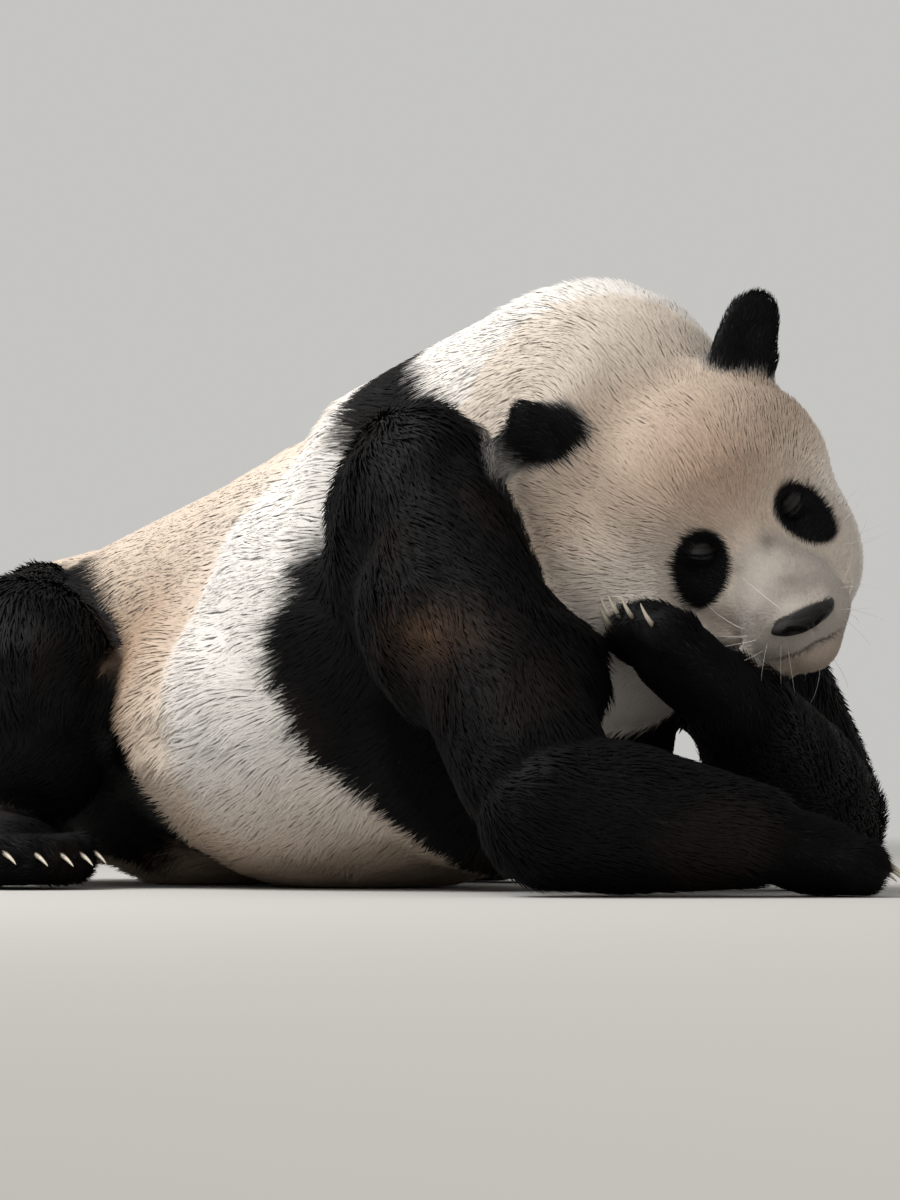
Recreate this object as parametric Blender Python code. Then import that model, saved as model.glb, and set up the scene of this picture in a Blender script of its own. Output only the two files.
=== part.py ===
"""A giant panda, life size, lying on its belly with its head asleep on its crossed forearms.

Metres, +Z up, the floor at Z = 0. The animal faces +X, its left side is +Y.
The solids reach out to the tips of the coat. Each named part is its own closed solid,
and neighbours keep a gap of a few tenths of a millimetre.
"""

from math import radians

import bmesh
import bpy
from mathutils import Euler, Matrix, Vector

# ---------------------------------------------------------------- driving sizes
PLACE = Vector((-0.0052, 0.0005, 0.0))   # from the withers' own axes to the middle of the footprint
MERGE = 0.00001                      # points this near are one
GAP = 0.0004                         # clearance between neighbouring parts
FLOOR_SINK = 0.012                   # how deep soft flesh is cut flat where it lies on the floor

WITHERS_TOP = 0.545                  # top of the shoulder hump
RUMP_TOP = 0.378                     # top of the hips
CHEST_HALF_WIDTH = 0.25
BELLY_HALF_WIDTH = 0.285
HIP_HALF_WIDTH = 0.225
RUMP_END = -0.69                     # X of the rear end, the withers being at X = 0

EYE_MIDDLE = Vector((0.549, 0.014, 0.352))   # midway between the eyes
HEAD_TILT = radians(28.0)            # left side of the head up: the right cheek lies on the paw
HEAD_NOD = radians(8.8)             # nose down
HEAD_TURN = radians(-28.5)           # face turned to the animal's right

EYE_SPACING = 0.102                  # between the eye centres
EYE_RADIUS = 0.0115
NOSE_SIZE = Vector((0.018, 0.035, 0.015))    # half sizes of the bare nose pad
EAR_SIZE = Vector((0.020, 0.043, 0.038))     # half thickness, half width, half height of its base
RIGHT_EAR_PUSHED = (0.016, 0.040)    # its base and tip are pushed out by the neck's thick folds,
RIGHT_EAR_FORWARD = 0.010            # and forward
PAW_WIDTH = 0.140
PAW_THICKNESS = 0.043
CLAW_LENGTH = 0.036
CLAW_RADIUS = 0.0052
CLAW_CURL = 0.32                     # how far the tip bends over, as a share of the length

MOUTH_SLOPE = radians(6)             # the mouth line falls towards its corners

# Colour and roughness of each material slot.
SLOTS = {
    "white_coat": ((0.74, 0.69, 0.63), 0.85),
    "black_coat": ((0.012, 0.012, 0.013), 0.75),
    "nose": ((0.010, 0.009, 0.008), 0.45),
    "eye": ((0.010, 0.008, 0.007), 0.35),
    "claw": ((0.55, 0.47, 0.34), 0.40),
}


# ---------------------------------------------------------------- shape helpers
def v(*numbers):
    return Vector(numbers)


def mirrored(point):
    """The same place on the animal's other side."""
    return v(point[0], -point[1], point[2])


def ball(centre, radii, turn=(0.0, 0.0, 0.0)):
    """One soft mass: an ellipsoid, turned by degrees about X, Y and Z."""
    if not hasattr(radii, "__len__"):
        radii = (radii, radii, radii)
    angles = Euler([radians(a) for a in turn], "XYZ")
    return Matrix.LocRotScale(Vector(centre), angles, Vector(radii))


def unit_ball():
    """The corners of a round ball, for hulls."""
    bm = bmesh.new()
    bmesh.ops.create_icosphere(bm, subdivisions=3, radius=1.0)
    corners = [p.co.copy() for p in bm.verts]
    bm.free()
    return corners


def mass_mesh(mass, frame):
    """One ball, or the smooth hull that spans a list of balls."""
    bm = bmesh.new()
    if isinstance(mass, (list, tuple)):
        for matrix in mass:
            for corner in unit_ball():
                bm.verts.new(frame @ matrix @ corner)
        hull = bmesh.ops.convex_hull(bm, input=bm.verts[:])
        inside = [g for g in hull["geom_interior"] if isinstance(g, bmesh.types.BMVert)]
        bmesh.ops.delete(bm, geom=inside, context="VERTS")
    else:
        bmesh.ops.create_icosphere(bm, subdivisions=3, radius=1.0, matrix=frame @ mass)
    bmesh.ops.recalc_face_normals(bm, faces=bm.faces)
    mesh = bpy.data.meshes.new("mass")
    bm.to_mesh(mesh)
    bm.free()
    return mesh


def object_from(name, bm):
    mesh = bpy.data.meshes.new(name)
    bm.to_mesh(mesh)
    bm.free()
    obj = bpy.data.objects.new(name, mesh)
    bpy.context.scene.collection.objects.link(obj)
    return obj


def add_modifier(obj, kind, **settings):
    modifier = obj.modifiers.new(kind.title(), kind)
    for key, value in settings.items():
        setattr(modifier, key, value)
    return modifier


def bake(obj):
    """Turns the modifiers' result into the object's own mesh."""
    graph = bpy.context.evaluated_depsgraph_get()
    graph.update()
    mesh = bpy.data.meshes.new_from_object(obj.evaluated_get(graph))
    old = obj.data
    obj.modifiers.clear()
    obj.data = mesh
    mesh.name = obj.name
    bpy.data.meshes.remove(old)
    return obj


def flesh(name, masses, voxel, fillet, triangles, frame=Matrix.Identity(4), smooth=6):
    """One closed soft form from overlapping masses, with the creases between them filled to a radius."""
    bm = bmesh.new()
    for mass in masses:
        mesh = mass_mesh(mass, Matrix.Translation(PLACE) @ frame)
        bm.from_mesh(mesh)
        bpy.data.meshes.remove(mesh)
    obj = object_from(name, bm)
    add_modifier(obj, "REMESH", mode="VOXEL", voxel_size=voxel)
    if fillet:
        add_modifier(obj, "DISPLACE", strength=fillet, mid_level=0.0)
        add_modifier(obj, "REMESH", mode="VOXEL", voxel_size=voxel)
        add_modifier(obj, "DISPLACE", strength=-fillet, mid_level=0.0)
        add_modifier(obj, "REMESH", mode="VOXEL", voxel_size=voxel)
    add_modifier(obj, "SMOOTH", factor=0.5, iterations=smooth)
    bake(obj)
    faces = sum(len(p.vertices) - 2 for p in obj.data.polygons)
    add_modifier(obj, "DECIMATE", ratio=min(1.0, triangles / faces))
    add_modifier(obj, "TRIANGULATE")
    return bake(obj)


def grown(obj, by):
    """A hidden copy of a part, a little larger all round."""
    copy = bpy.data.objects.new(obj.name + "_cutter", obj.data.copy())
    bpy.context.scene.collection.objects.link(copy)
    copy.hide_render = True
    copy.display_type = "WIRE"
    bm = bmesh.new()
    bm.from_mesh(copy.data)
    bm.normal_update()
    moves = []
    for vert in bm.verts:
        flattest = min(vert.normal.dot(face.normal) for face in vert.link_faces)
        moves.append(vert.normal * by / max(flattest, 0.35))
    for vert, move in zip(bm.verts, moves):
        vert.co += move
    bm.to_mesh(copy.data)
    bm.free()
    return copy


def carve(obj, *others, by=GAP):
    """Makes room in one part for its neighbours."""
    for other in others:
        cutter = grown(other, by)
        add_modifier(obj, "BOOLEAN", operation="DIFFERENCE", object=cutter, solver="MANIFOLD")
        add_modifier(obj, "TRIANGULATE")
        bake(obj)
        bpy.data.objects.remove(cutter)
    return keep_largest(obj)


def keep_largest(obj):
    """Drops the crumbs that a cut leaves beside the main body."""
    bm = bmesh.new()
    bm.from_mesh(obj.data)
    bmesh.ops.remove_doubles(bm, verts=bm.verts, dist=MERGE)
    left = set(bm.verts)
    bodies = []
    while left:
        body, front = set(), [left.pop()]
        while front:
            vert = front.pop()
            body.add(vert)
            for edge in vert.link_edges:
                other = edge.other_vert(vert)
                if other in left:
                    left.discard(other)
                    front.append(other)
        bodies.append(body)
    bodies.sort(key=len)
    for body in bodies[:-1]:
        bmesh.ops.delete(bm, geom=list(body), context="VERTS")
    bm.to_mesh(obj.data)
    bm.free()
    return obj


def clip(obj, point, normal, keep_front, name=None):
    """Cuts a part by a plane and caps it. The plane is moved half a gap towards the side that stays."""
    normal = Vector(normal).normalized()
    shift = GAP / 2 if keep_front else -GAP / 2
    bm = bmesh.new()
    bm.from_mesh(obj.data)
    geometry = [*bm.verts, *bm.edges, *bm.faces]
    bmesh.ops.bisect_plane(
        bm, geom=geometry, dist=1e-6, plane_co=Vector(point) + PLACE + normal * shift, plane_no=normal,
        clear_inner=keep_front, clear_outer=not keep_front)
    rim = [e for e in bm.edges if e.is_boundary]
    bmesh.ops.holes_fill(bm, edges=rim, sides=0)
    bmesh.ops.recalc_face_normals(bm, faces=bm.faces)
    bmesh.ops.triangulate(bm, faces=bm.faces)
    if name is None:
        bm.to_mesh(obj.data)
        bm.free()
        return obj
    return object_from(name, bm)


def rest_on_floor(obj):
    """Cuts flat what lies below the floor."""
    lowest = min(p.co.z for p in obj.data.vertices)
    if lowest < 0:
        clip(obj, v(0, 0, -GAP / 2), v(0, 0, 1), keep_front=True)
    return obj


def material(name, colour, roughness):
    made = bpy.data.materials.new(name)
    made.use_nodes = True
    shader = made.node_tree.nodes["Principled BSDF"]
    shader.inputs["Base Color"].default_value = (*colour, 1.0)
    shader.inputs["Roughness"].default_value = roughness
    return made


# ---------------------------------------------------------------- the trunk and neck
def neck_masses():
    return [
        [ball((0.11, 0.0, 0.383), (0.17, 0.19, 0.18)), ball((0.310, 0.02, 0.446), (0.17, 0.165, 0.185))],
        [ball((0.10, 0.0, 0.29), 0.19), ball((0.36, 0.03, 0.33), 0.15)],
    ]


def trunk_masses():
    chest = ball((0.07, 0.0, 0.262), (0.25, CHEST_HALF_WIDTH, 0.235))
    withers = [ball((0.09, 0.0, WITHERS_TOP - 0.174), (0.15, 0.175, 0.165)),
               ball((-0.15, 0.0, 0.278), (0.18, 0.20, 0.178))]
    loin = [ball((-0.15, 0.0, 0.278), (0.18, 0.20, 0.178)),
            ball((-0.45, 0.0, RUMP_TOP - 0.18), (0.18, HIP_HALF_WIDTH - 0.02, 0.18))]
    belly = ball((-0.035, 0.0, 0.185), (0.28, BELLY_HALF_WIDTH, 0.185 + FLOOR_SINK))
    groin = ball((-0.30, 0.0, 0.15), (0.21, 0.20, 0.15 + FLOOR_SINK))
    rump_length = 0.235
    rump = ball((RUMP_END + rump_length, 0.0, 0.20), (rump_length, HIP_HALF_WIDTH, 0.185))
    breast = ball((0.20, 0.0, 0.19), (0.18, 0.18, 0.18))
    return [chest, withers, loin, belly, groin, rump, breast]


def make_trunk():
    trunk = flesh("trunk", trunk_masses() + neck_masses(), 0.014, 0.035, 950, smooth=8)
    return trunk


# ---------------------------------------------------------------- the head
def head_frame():
    turn = Euler((HEAD_TILT, HEAD_NOD, HEAD_TURN), "XYZ")
    return Matrix.LocRotScale(EYE_MIDDLE, turn, None)


def head_masses():
    """Measured from the middle of the eyes: x forward, y to the left, z to the crown."""
    masses = [
        ball((-0.100, 0.0, 0.042), (0.125, 0.130, 0.120)),
        ball((-0.050, 0.0, 0.028), (0.078, 0.100, 0.080)),
        ball((-0.155, 0.0, 0.000), (0.110, 0.135, 0.150)),
        [ball((-0.030, 0.0, -0.045), (0.06, 0.066, 0.058)), ball((0.052, 0.0, -0.068), (0.048, 0.052, 0.042))],
        [ball((-0.030, 0.0, -0.004), (0.04, 0.044, 0.038)), ball((0.054, 0.0, -0.052), (0.038, 0.037, 0.030))],
        [ball((-0.060, 0.0, -0.098), (0.05, 0.070, 0.045)), ball((0.044, 0.0, -0.116), (0.032, 0.034, 0.027))],
    ]
    for side in (1, -1):
        masses += [
            ball((-0.080, side * 0.050, -0.038), (0.096, 0.070, 0.094)),
            ball((0.052, side * 0.026, -0.082), (0.038, 0.034, 0.031)),
            ball((-0.030, side * 0.048, 0.012), (0.036, 0.036, 0.036)),
        ]
    return masses


def ear_masses(side):
    lean = (side * -30, -8, side * 18)
    low, high = (0.0, 0.0) if side > 0 else RIGHT_EAR_PUSHED
    forward = 0.0 if side > 0 else RIGHT_EAR_FORWARD
    base = ball((-0.098 + forward, side * (0.091 + low), 0.146), EAR_SIZE, lean)
    tip = ball((-0.106 + forward, side * (0.113 + high), 0.178), EAR_SIZE * 0.76, lean)
    return [[base, tip]]


def make_head():
    frame = head_frame()
    local_neck = [[frame.inverted() @ b for b in pair] for pair in neck_masses()]
    head = flesh("head", head_masses() + local_neck, 0.008, 0.020, 1200, frame, smooth=5)
    nose = flesh("nose", [ball((0.097, 0.0, -0.071), NOSE_SIZE, (0, 12, 0))], 0.003, 0, 120, frame, smooth=2)
    ears = {}
    eyes = {}
    for side, word in ((1, "left"), (-1, "right")):
        ears[word] = flesh("ear_" + word, ear_masses(side), 0.005, 0, 160, frame, smooth=2)
        eye = ball((0.003, side * EYE_SPACING / 2, 0.011), EYE_RADIUS)
        eyes[word] = flesh("eye_" + word, [eye], 0.002, 0, 60, frame, smooth=1)
    return head, nose, ears, eyes


# ---------------------------------------------------------------- the limbs
def paw_masses(wrist, toes, width, thickness, turn):
    """A broad flat paw: a palm, and five toes side by side at its front."""
    along = (toes - wrist).normalized()
    across = (turn @ v(0, 1, 0)).normalized()
    up = along.cross(across).normalized()
    frame = Matrix((along, across, up)).transposed().to_4x4()
    length = (toes - wrist).length
    frame.translation = wrist
    masses = [[frame @ ball((0.0, 0, 0), (0.045, width * 0.40, thickness)),
               frame @ ball((length * 0.62, 0, -0.002), (0.045, width * 0.46, thickness * 0.92))]]
    for place in range(-2, 3):
        reach = length * (0.97 - 0.028 * place * place)
        masses.append(frame @ ball((reach, place * width * 0.205, -0.004),
                                   (0.030, width * 0.125, thickness * 0.74)))
    return masses, frame, length


def claw(name, root, direction, curl):
    """A tapered claw that curves down towards its tip."""
    rings = 5
    sides = 6
    bm = bmesh.new()
    side_axis = direction.cross(curl).normalized()
    loops = []
    for step in range(rings):
        share = step / rings
        centre = root + direction * CLAW_LENGTH * share + curl * CLAW_LENGTH * CLAW_CURL * share * share
        heading = (direction + curl * 2 * CLAW_CURL * share).normalized()
        normal = side_axis.cross(heading).normalized()
        radius = CLAW_RADIUS * (1 - share) ** 0.7
        turn = Matrix((side_axis, normal, heading)).transposed()
        ring = []
        for k in range(sides):
            spin = Matrix.Rotation(k / sides * radians(360), 3, "Z")
            offset = turn @ (spin @ v(radius * 0.8, 0, 0))
            ring.append(bm.verts.new(centre + offset + PLACE))
        loops.append(ring)
    tip = bm.verts.new(root + direction * CLAW_LENGTH + curl * CLAW_LENGTH * CLAW_CURL + PLACE)
    for low, high in zip(loops, loops[1:]):
        for k in range(sides):
            bm.faces.new((low[k], low[(k + 1) % sides], high[(k + 1) % sides], high[k]))
    for k in range(sides):
        bm.faces.new((loops[-1][k], loops[-1][(k + 1) % sides], tip))
    bm.faces.new(list(reversed(loops[0])))
    bmesh.ops.recalc_face_normals(bm, faces=bm.faces)
    return object_from(name, bm)


def claws_of(name, frame, length, width, thickness):
    made = []
    forward = (frame.to_3x3() @ v(1, 0, 0)).normalized()
    down = (frame.to_3x3() @ v(0, 0, -1)).normalized()
    for place in range(-2, 3):
        reach = length * (0.97 - 0.028 * place * place) + 0.018
        root = frame @ v(reach, place * width * 0.205, thickness * 0.10)
        made.append(claw(f"{name}_claw_{place + 3}", root, forward, down))
    return made


def foreleg(word, shoulder, elbow, wrist, toes, turn):
    side = 1 if shoulder.y > 0 else -1
    reach = elbow - shoulder
    upper = [
        ball(shoulder + v(-0.045, 0.0, 0.015), (0.105, 0.075, 0.135), (0, 20, 0)),
        ball(shoulder + reach * 0.30 + v(-0.030, side * 0.006, 0), (0.105, 0.083, 0.125), (0, -35, 0)),
        [ball(shoulder, (0.085, 0.080, 0.100)), ball(shoulder + reach * 0.84, (0.080, 0.078, 0.085))],
    ]
    if side < 0:
        upper.append(ball(NEAR_ARM_SWELL, 0.078))
    fore = wrist - elbow
    lower = [
        [ball(elbow, (0.078, 0.075, 0.080)), ball(elbow + fore * 0.35, 0.076), ball(wrist, (0.056, 0.056, 0.054))],
    ]
    paw, frame, length = paw_masses(wrist, toes, PAW_WIDTH, PAW_THICKNESS, turn)
    return {
        "upper_arm": flesh(f"upper_arm_{word}", upper, 0.010, 0.03, 240),
        "forearm": flesh(f"forearm_{word}", lower, 0.008, 0, 180),
        "forepaw": flesh(f"forepaw_{word}", paw, 0.0045, 0.004, 230, smooth=2),
        "claws": claws_of(f"forepaw_{word}", frame, length, PAW_WIDTH, PAW_THICKNESS),
    }


def hind_leg(word, hip, knee, ankle, toes):
    side = 1 if hip.y > 0 else -1
    thigh = [
        ball(hip, (0.175, 0.105, 0.165), (0, 0, side * 30)),
        ball(knee, (0.125, 0.095, 0.125)),
        [ball(hip, (0.145, 0.095, 0.150)), ball(knee, (0.117, 0.091, 0.120))],
    ]
    shank = [[ball(knee + v(0.02, 0, -0.06), 0.088), ball(ankle, 0.058)]]
    foot, frame, length = paw_masses(ankle + v(0, 0, -0.015), toes, PAW_WIDTH, PAW_THICKNESS, Matrix.Identity(3))
    foot.append([ball(ankle + v(-0.02, 0, -0.03), 0.050), ball(ankle + v(0.06, 0, -0.03), 0.048)])
    return {
        "thigh": flesh(f"thigh_{word}", thigh, 0.010, 0.03, 220),
        "shank": flesh(f"shank_{word}", shank, 0.008, 0, 140),
        "hind_foot": flesh(f"hind_foot_{word}", foot, 0.0045, 0.004, 280, smooth=2),
        "claws": claws_of(f"hind_foot_{word}", frame, length, PAW_WIDTH, PAW_THICKNESS),
    }


# Where the limbs lie. Each foreleg: shoulder, elbow, wrist, toes, and how the paw is turned.
FORELEGS = {
    "right": (v(0.300, -0.180, 0.355), v(0.510, -0.215, 0.085), v(0.640, -0.080, 0.060), v(0.680, 0.030, 0.030),
              Matrix.Rotation(radians(68), 3, "Z")),
    "left": (v(0.285, 0.180, 0.355), v(0.410, 0.235, 0.074), v(0.562, -0.002, 0.171), v(0.504, -0.091, 0.260),
             Matrix.Rotation(radians(68), 3, "Z")),
}
NEAR_ARM_SWELL = v(0.418, -0.155, 0.215)     # the right upper arm swells where the cheek presses on it
# Hip, knee, ankle and toes of the left hind leg; the right one mirrors it.
HIND_LEG = (v(-0.45, 0.13, 0.20), v(-0.27, 0.285, 0.215), v(-0.32, 0.35, 0.07), v(-0.115, 0.36, 0.034))
TAIL = [ball((-0.655, 0.0, 0.235), (0.05, 0.045, 0.04)), ball((-0.70, 0.0, 0.175), (0.03, 0.04, 0.045))]


# ---------------------------------------------------------------- putting it together
def box_object(name, low, high, frame):
    bm = bmesh.new()
    bmesh.ops.create_cube(bm, size=1.0)
    middle, size = (Vector(low) + Vector(high)) / 2, Vector(high) - Vector(low)
    bmesh.ops.transform(bm, verts=bm.verts,
                        matrix=Matrix.Translation(PLACE) @ frame @ Matrix.LocRotScale(middle, None, size))
    box = object_from(name, bm)
    box.hide_render = True
    box.display_type = "WIRE"
    return box


def take_jaw(head):
    """Parts the lower jaw from the head along the mouth."""
    frame = head_frame() @ Matrix.LocRotScale(v(0.012, 0, -0.092), Euler((0, MOUTH_SLOPE, 0)), None)
    block = box_object("jaw_block", (0, -0.2, -0.2), (0.2, 0.2, 0), frame)
    jaw = bpy.data.objects.new("jaw", head.data.copy())
    bpy.context.scene.collection.objects.link(jaw)
    add_modifier(jaw, "BOOLEAN", operation="INTERSECT", object=block, solver="MANIFOLD")
    bake(jaw)
    carve(head, block)
    bpy.data.objects.remove(block)
    return jaw


def part_trunk(trunk):
    """Cuts the trunk across into neck, chest, belly and rump."""
    chest_plane = (v(0.16, 0, 0.40), v(0.94, 0, 0.34))
    neck = clip(trunk, *chest_plane, keep_front=True, name="neck")
    rest = clip(trunk, *chest_plane, keep_front=False, name="chest")
    rump = clip(rest, v(-0.40, 0, 0), v(-1, 0, 0), keep_front=True, name="rump")
    belly = clip(rest, v(-0.40, 0, 0), v(-1, 0, 0), keep_front=False, name="belly")
    clip(belly, v(-0.13, 0, 0), v(-1, 0, 0), keep_front=True)
    clip(rest, v(-0.13, 0, 0), v(-1, 0, 0), keep_front=False)
    bpy.data.objects.remove(trunk)
    return neck, rest, belly, rump


def slot_of(name):
    """Which coat or horn a part wears."""
    if "_claw_" in name:
        return "claw"
    if name.split("_")[0] in ("nose", "eye"):
        return name.split("_")[0]
    white = name in ("head", "jaw", "neck", "belly", "rump", "tail")
    return "white_coat" if white else "black_coat"


def main():
    for obj in list(bpy.data.objects):
        bpy.data.objects.remove(obj)

    fore = {word: foreleg(word, *FORELEGS[word]) for word in FORELEGS}
    hind = {word: hind_leg(word, *[p if word == "left" else mirrored(p) for p in HIND_LEG])
            for word in ("left", "right")}
    trunk = make_trunk()
    head, nose, ears, eyes = make_head()
    tail = flesh("tail", [TAIL], 0.008, 0, 100)

    nape = (head_frame() @ v(-0.165, 0, 0), head_frame().to_3x3() @ v(1, 0, 0))
    clip(head, *nape, keep_front=True)
    clip(trunk, *nape, keep_front=False)
    carve(ears["right"], fore["right"]["upper_arm"])
    carve(head, nose, *ears.values(), *eyes.values(), fore["left"]["upper_arm"], fore["right"]["upper_arm"])

    for word in ("right", "left"):
        leg, arm = hind[word], fore[word]
        carve(trunk, arm["upper_arm"], leg["thigh"])
        carve(leg["shank"], trunk, leg["thigh"])
        carve(leg["hind_foot"], trunk, leg["thigh"], leg["shank"])
        carve(arm["forearm"], trunk, arm["upper_arm"])
        carve(arm["forepaw"], arm["forearm"], trunk)
    carve(fore["left"]["forearm"], fore["right"]["forearm"], fore["right"]["forepaw"], head)
    carve(fore["left"]["forepaw"], fore["right"]["forearm"], fore["right"]["forepaw"], head)
    carve(tail, trunk)
    jaw = take_jaw(head)

    flesh_parts = [head, jaw, tail, *part_trunk(trunk)]
    for limb in (*fore.values(), *hind.values()):
        flesh_parts += [piece for piece in limb.values() if not isinstance(piece, list)]
    for piece in flesh_parts:
        rest_on_floor(piece)
    for limb in (*fore.values(), *hind.values()):
        owner = limb.get("forepaw") or limb["hind_foot"]
        for nail in limb["claws"]:
            carve(nail, owner, head)

    slots = {word: material(word, colour, roughness) for word, (colour, roughness) in SLOTS.items()}
    for obj in bpy.data.objects:
        obj.data.materials.clear()
        obj.data.materials.append(slots[slot_of(obj.name)])


main()
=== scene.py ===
# %% [markdown]
# # A sleeping giant panda, life size
# The animal lies on its belly with its right cheek on a folded paw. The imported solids
# reach out to the tips of the coat. Here they are dressed: one seamless skin goes just
# inside them, and thousands of small solid tufts of hair bring the outline back out.
# Everything is in metres, +Z up, with the floor at Z = 0 and the animal facing +X.

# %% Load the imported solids
from math import atan2, cos, pi, radians, sin

import bmesh
import bpy
import numpy as np
from mathutils import Matrix, Vector, noise
from mathutils.bvhtree import BVHTree


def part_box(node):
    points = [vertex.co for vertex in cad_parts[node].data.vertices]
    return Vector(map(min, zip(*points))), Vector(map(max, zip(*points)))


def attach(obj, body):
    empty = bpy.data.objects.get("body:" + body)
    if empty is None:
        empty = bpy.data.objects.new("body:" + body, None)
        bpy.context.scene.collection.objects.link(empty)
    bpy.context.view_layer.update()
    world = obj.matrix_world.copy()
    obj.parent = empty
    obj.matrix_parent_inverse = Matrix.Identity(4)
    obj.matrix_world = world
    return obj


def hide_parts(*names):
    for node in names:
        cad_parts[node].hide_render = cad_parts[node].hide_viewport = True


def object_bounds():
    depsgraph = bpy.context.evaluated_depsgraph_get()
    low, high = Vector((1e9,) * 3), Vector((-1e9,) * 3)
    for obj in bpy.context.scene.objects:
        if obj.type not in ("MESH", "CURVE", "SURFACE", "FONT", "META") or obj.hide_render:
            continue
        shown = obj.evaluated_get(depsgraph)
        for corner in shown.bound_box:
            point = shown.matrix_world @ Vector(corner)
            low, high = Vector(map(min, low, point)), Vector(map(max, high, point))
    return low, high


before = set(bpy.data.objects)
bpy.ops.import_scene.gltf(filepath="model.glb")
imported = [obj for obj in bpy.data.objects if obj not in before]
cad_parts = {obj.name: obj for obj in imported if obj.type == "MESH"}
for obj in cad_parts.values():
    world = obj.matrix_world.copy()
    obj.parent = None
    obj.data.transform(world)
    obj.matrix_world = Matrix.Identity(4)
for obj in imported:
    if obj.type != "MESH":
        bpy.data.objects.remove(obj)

SOLID_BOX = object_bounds()
BODY = "root"
SIDES = ("left", "right")
print("solids:", len(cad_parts), "box:", [tuple(round(c, 3) for c in corner) for corner in SOLID_BOX])

# %% [markdown]
# ## The camera
# A long lens a few steps away, a hand's breadth above the floor and tipped up a little,
# looks at the right front of the animal. A long lens keeps the head and the far rump in
# their real proportion to each other.

# %% Camera
CAMERA_AZIMUTH = radians(50)
CAMERA_DISTANCE = 5.356
CAMERA_ASIDE = 0.0635
CAMERA_HEIGHT = 0.09
CAMERA_TIP_UP = radians(2.325)
CAMERA_LENS = 150

toward_camera = Vector((sin(CAMERA_AZIMUTH), -cos(CAMERA_AZIMUTH), 0))
camera_right = Vector((cos(CAMERA_AZIMUTH), sin(CAMERA_AZIMUTH), 0))
camera = bpy.data.objects.new("camera", bpy.data.cameras.new("camera"))
bpy.context.scene.collection.objects.link(camera)
camera.data.lens = CAMERA_LENS
camera.location = toward_camera * CAMERA_DISTANCE + camera_right * CAMERA_ASIDE
camera.location.z += CAMERA_HEIGHT
camera.rotation_euler = (pi / 2 + CAMERA_TIP_UP, 0, CAMERA_AZIMUTH)
bpy.context.scene.camera = camera
print("camera at", tuple(round(c, 2) for c in camera.location))

# %% [markdown]
# ## Floor and light
# The studio is a pale floor that fades into an even pale surround, so nothing competes
# with the coat. White fur shows its form only where light falls off across it. The main
# light is therefore broad, high and a little behind the animal's right side. The back
# and flank are bright, and the face, turned the other way, stays in soft shade.


# %% Node helpers
def add_node(tree, kind, **settings):
    made = tree.nodes.new(kind)
    for key, value in settings.items():
        setattr(made, key, value)
    return made


def connect(tree, source, target):
    """source and target are (node, socket name or number)."""
    tree.links.new(source[0].outputs[source[1]], target[0].inputs[target[1]])


def set_inputs(target, **values):
    """Socket names are written with _ for a space."""
    for key, value in values.items():
        target.inputs[key.replace("_", " ")].default_value = value


# %% Floor that fades into the surround
SURROUND = (0.56, 0.555, 0.54, 1)
FLOOR_COLOUR = (0.50, 0.49, 0.475, 1)
FLOOR_HALF = 40.0
FLOOR_DROP = 0.0005       # so that the floor and the soles don't share a plane
FADE_START = 2.5
FADE_END = 9.0


def floor_material():
    material = bpy.data.materials.new("studio_floor")
    material.use_nodes = True
    tree = material.node_tree
    tree.nodes.clear()
    place = add_node(tree, "ShaderNodeTexCoord")
    away = add_node(tree, "ShaderNodeVectorMath", operation="LENGTH")
    fade = add_node(tree, "ShaderNodeMapRange", interpolation_type="SMOOTHSTEP")
    set_inputs(fade, From_Min=FADE_START, From_Max=FADE_END)
    matte = add_node(tree, "ShaderNodeBsdfDiffuse")
    matte.inputs["Color"].default_value = FLOOR_COLOUR
    glow = add_node(tree, "ShaderNodeEmission")
    glow.inputs["Color"].default_value = SURROUND
    both = add_node(tree, "ShaderNodeMixShader")
    out = add_node(tree, "ShaderNodeOutputMaterial")
    connect(tree, (place, "Object"), (away, 0))
    connect(tree, (away, "Value"), (fade, "Value"))
    connect(tree, (fade, "Result"), (both, 0))
    connect(tree, (matte, 0), (both, 1))
    connect(tree, (glow, 0), (both, 2))
    connect(tree, (both, 0), (out, "Surface"))
    return material


def make_floor():
    bm = bmesh.new()
    bmesh.ops.create_grid(bm, x_segments=1, y_segments=1, size=FLOOR_HALF)
    mesh = bpy.data.meshes.new("studio_floor")
    bm.to_mesh(mesh)
    bm.free()
    floor = bpy.data.objects.new("studio_floor", mesh)
    bpy.context.scene.collection.objects.link(floor)
    floor.location.z = -FLOOR_DROP
    mesh.materials.append(floor_material())
    return floor


make_floor()

world = bpy.data.worlds.new("surround")
world.use_nodes = True
set_inputs(world.node_tree.nodes["Background"], Color=SURROUND, Strength=1.0)
bpy.context.scene.world = world
bpy.context.scene.view_settings.view_transform = "Standard"
print("floor fades from", FADE_START, "to", FADE_END, "m")


# %% Lights
def area_light(name, direction, distance, size, power, colour):
    """A square soft light that hangs in that direction from the animal's middle and faces it."""
    light = bpy.data.lights.new(name, "AREA")
    light.size = size
    light.energy = power
    light.color = colour
    lamp = bpy.data.objects.new(name, light)
    bpy.context.scene.collection.objects.link(lamp)
    target = (SOLID_BOX[0] + SOLID_BOX[1]) / 2
    lamp.location = target + Vector(direction).normalized() * distance
    lamp.rotation_euler = (target - lamp.location).to_track_quat("-Z", "Y").to_euler()
    return lamp


area_light("high_soft_light", (-0.45, -0.74, 1.05), distance=4.0, size=2.2, power=185,
           colour=(1.0, 0.985, 0.965))
area_light("low_fill_light", (0.9, -0.35, 0.35), distance=4.5, size=3.0, power=30,
           colour=(1.0, 0.93, 0.85))
print("two soft lights")

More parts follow.
